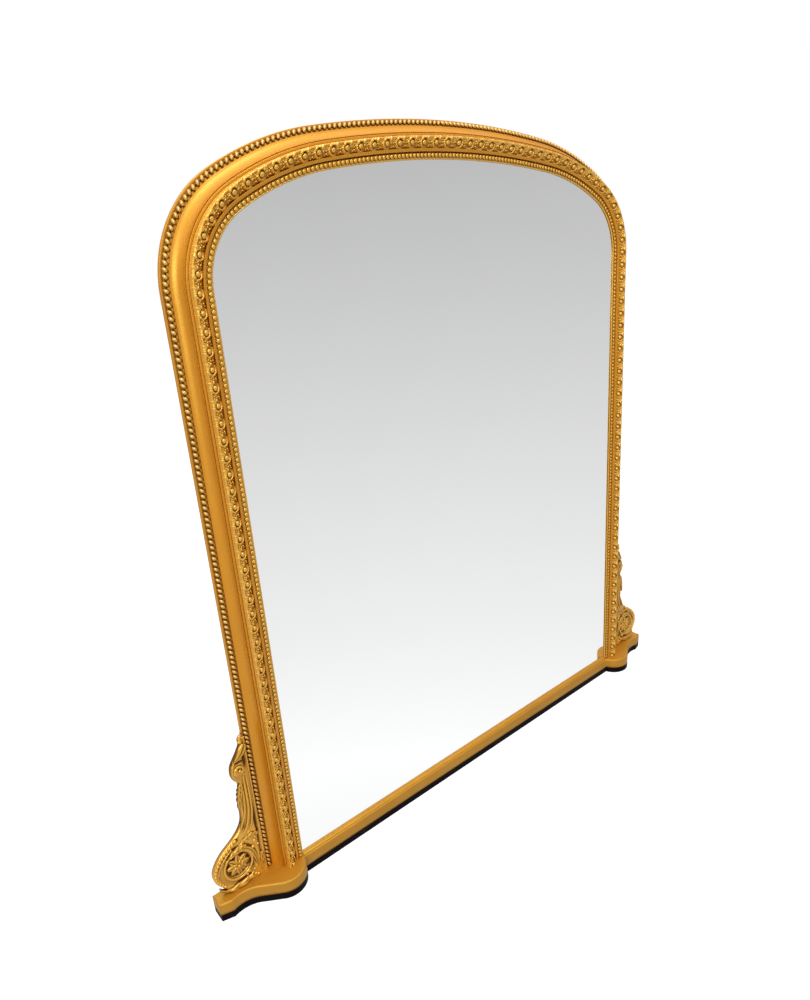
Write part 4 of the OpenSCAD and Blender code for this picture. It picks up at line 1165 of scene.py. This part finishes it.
# %% Floor and surround
FLOOR_GREY, FLOOR_GLOW, FLOOR_HALF = 0.22, 0.90, 30.0
SKY_LOW, SKY_HIGH = 0.08, 1.16
LEVEL_UP, LEVEL_DOWN = 1.0, -0.70
# Where on the gradient, from straight up to steeply down, and how bright.
ROOM_TONES = (
    (0.0, 2.0), (0.46, 0.48), (0.531, 0.54), (0.604, 0.61), (0.699, 0.71), (0.796, 0.815),
    (0.885, 0.92), (0.925, 0.985), (0.959, 1.05), (1.0, 1.0)
)


def grey(value):
    return (value, value, value, 1)


def plain_floor():
    """Pale floor: a white that its own shadows darken, and not there at all in reflections.

    To the camera it is a dull grey that the lamps light and shadows darken, plus an even glow.
    """
    floor = Finish("pale_floor", Roughness=0.9, Base_Color=grey(FLOOR_GREY))
    lit = Shade(floor, floor.surface.outputs[0])
    glow = floor.node("ShaderNodeEmission", {}, {"Color": grey(1), "Strength": FLOOR_GLOW})
    glowing = floor.node("ShaderNodeAddShader", {}, {0: lit, 1: glow})
    clear = floor.node("ShaderNodeBsdfTransparent")
    seen = floor.by_ray("Glossy", floor.by_ray("Camera", lit, glowing), clear)
    floor.put(floor.output.inputs["Surface"], seen)
    return floor.material


def pale_room():
    """The surround: white to the camera, a soft sky as light, and a gradient in reflections.

    The sky brightens with the upward slope of a ray. In reflections a bright ceiling falls off to a
    grey wall, which then grows lighter down to a white floor, as a plain room looks in a mirror.
    """
    world = bpy.data.worlds.new("pale_room")
    world.use_nodes = True
    room = Nodes(world.node_tree)
    direction = room.node("ShaderNodeTexCoord", out="Generated")
    slope = room.node("ShaderNodeSeparateXYZ", {}, {"Vector": direction}, out="Z")
    stops = [(where, grey(tone)) for where, tone in ROOM_TONES]
    level = room.steps(slope, LEVEL_UP, LEVEL_DOWN)
    gradient = room.node("ShaderNodeValToRGB", {"stops": stops}, {"Fac": level})
    sky = room.steps(slope, 0.0, 1.0, SKY_LOW, SKY_HIGH)
    light, mirrored, white = (
        room.node("ShaderNodeBackground", {}, {"Color": colour}) for colour in (sky, gradient, grey(1))
    )
    seen = room.by_ray("Camera", room.by_ray("Glossy", light, mirrored), white)
    room.put(room.tree.nodes.new("ShaderNodeOutputWorld").inputs["Surface"], seen)
    return world


ground = bpy.data.meshes.new("floor")
corners = [(x * FLOOR_HALF, y * FLOOR_HALF, 0) for x, y in ((-1, -1), (1, -1), (1, 1), (-1, 1))]
ground.from_pydata(corners, [], [(0, 1, 2, 3)])
floor = bpy.data.objects.new("floor", ground)
bpy.context.scene.collection.objects.link(floor)
ground.materials.append(plain_floor())
bpy.context.scene.world = pale_room()
print("tones in the surround:", len(ROOM_TONES))

# %% Lamps: place, the point that they shine at, size in metres and power in watts
LAMPS = {
    "overhead_lamp": ((-0.6, -1.3, 3.6), (0.0, 0.0, 1.0), 1.6, 42),
    "left_lamp": ((-4.2, -3.0, 2.4), (0.0, 0.0, 0.8), 2.4, 125),
    "back_lamp": ((1.5, 3.0, 2.6), (0.0, 0.0, 0.8), 2.0, 40)
}


def lamp(name, place_at, aim, size, power):
    """A square soft lamp at a place, turned so that it shines at a point."""
    light = bpy.data.lights.new(name, "AREA")
    light.size, light.energy = size, power
    thing = bpy.data.objects.new(name, light)
    bpy.context.scene.collection.objects.link(thing)
    away = np.array(place_at) - np.array(aim)
    away /= np.linalg.norm(away)
    side = np.cross((0, 0, 1), away)
    side /= np.linalg.norm(side)
    turn = np.stack([side, np.cross(away, side), away], 1)
    thing.matrix_world = Matrix.LocRotScale(place_at, Matrix(turn.tolist()).to_quaternion(), None)


for name, setting in LAMPS.items():
    lamp(name, *setting)
print("lamps:", len(LAMPS))

# %% [markdown]
# ## The camera
#
# The camera stands to the left of the mirror, a little higher than its spring line, and looks
# down to the right with a slight roll. Aiming it by hand would only come near, so its place and
# angles were solved from the straight edges and the arch, and its axes are built from them.

# %% Camera
CAMERA_AT = (-1.1646, -1.2377, 1.3887)
TURN_RIGHT, TILT, ROLL = (math.radians(a) for a in (37.883, -19.158, -4.542))
IMAGE_H = 1000
FOCAL_PIXELS = 699.35
SENSOR_MM = 36
lens = bpy.data.cameras.new("camera")
lens.sensor_width = SENSOR_MM
lens.lens = FOCAL_PIXELS / IMAGE_H * SENSOR_MM
camera = bpy.data.objects.new("camera", lens)
bpy.context.scene.collection.objects.link(camera)
level = np.array([math.cos(TURN_RIGHT), -math.sin(TURN_RIGHT), 0])
ahead = np.array([math.sin(TURN_RIGHT), math.cos(TURN_RIGHT), 0])
forward = math.cos(TILT) * ahead + math.sin(TILT) * np.array([0, 0, 1])
right = math.cos(ROLL) * level + math.sin(ROLL) * np.cross(level, forward)
axes = Matrix(np.stack([right, np.cross(right, forward), -forward], 1).tolist())
camera.matrix_world = Matrix.Translation(CAMERA_AT) @ axes.to_4x4()
bpy.context.scene.camera = camera
bpy.context.scene.view_settings.view_transform = "Standard"
print("lens %.2f mm" % lens.lens)
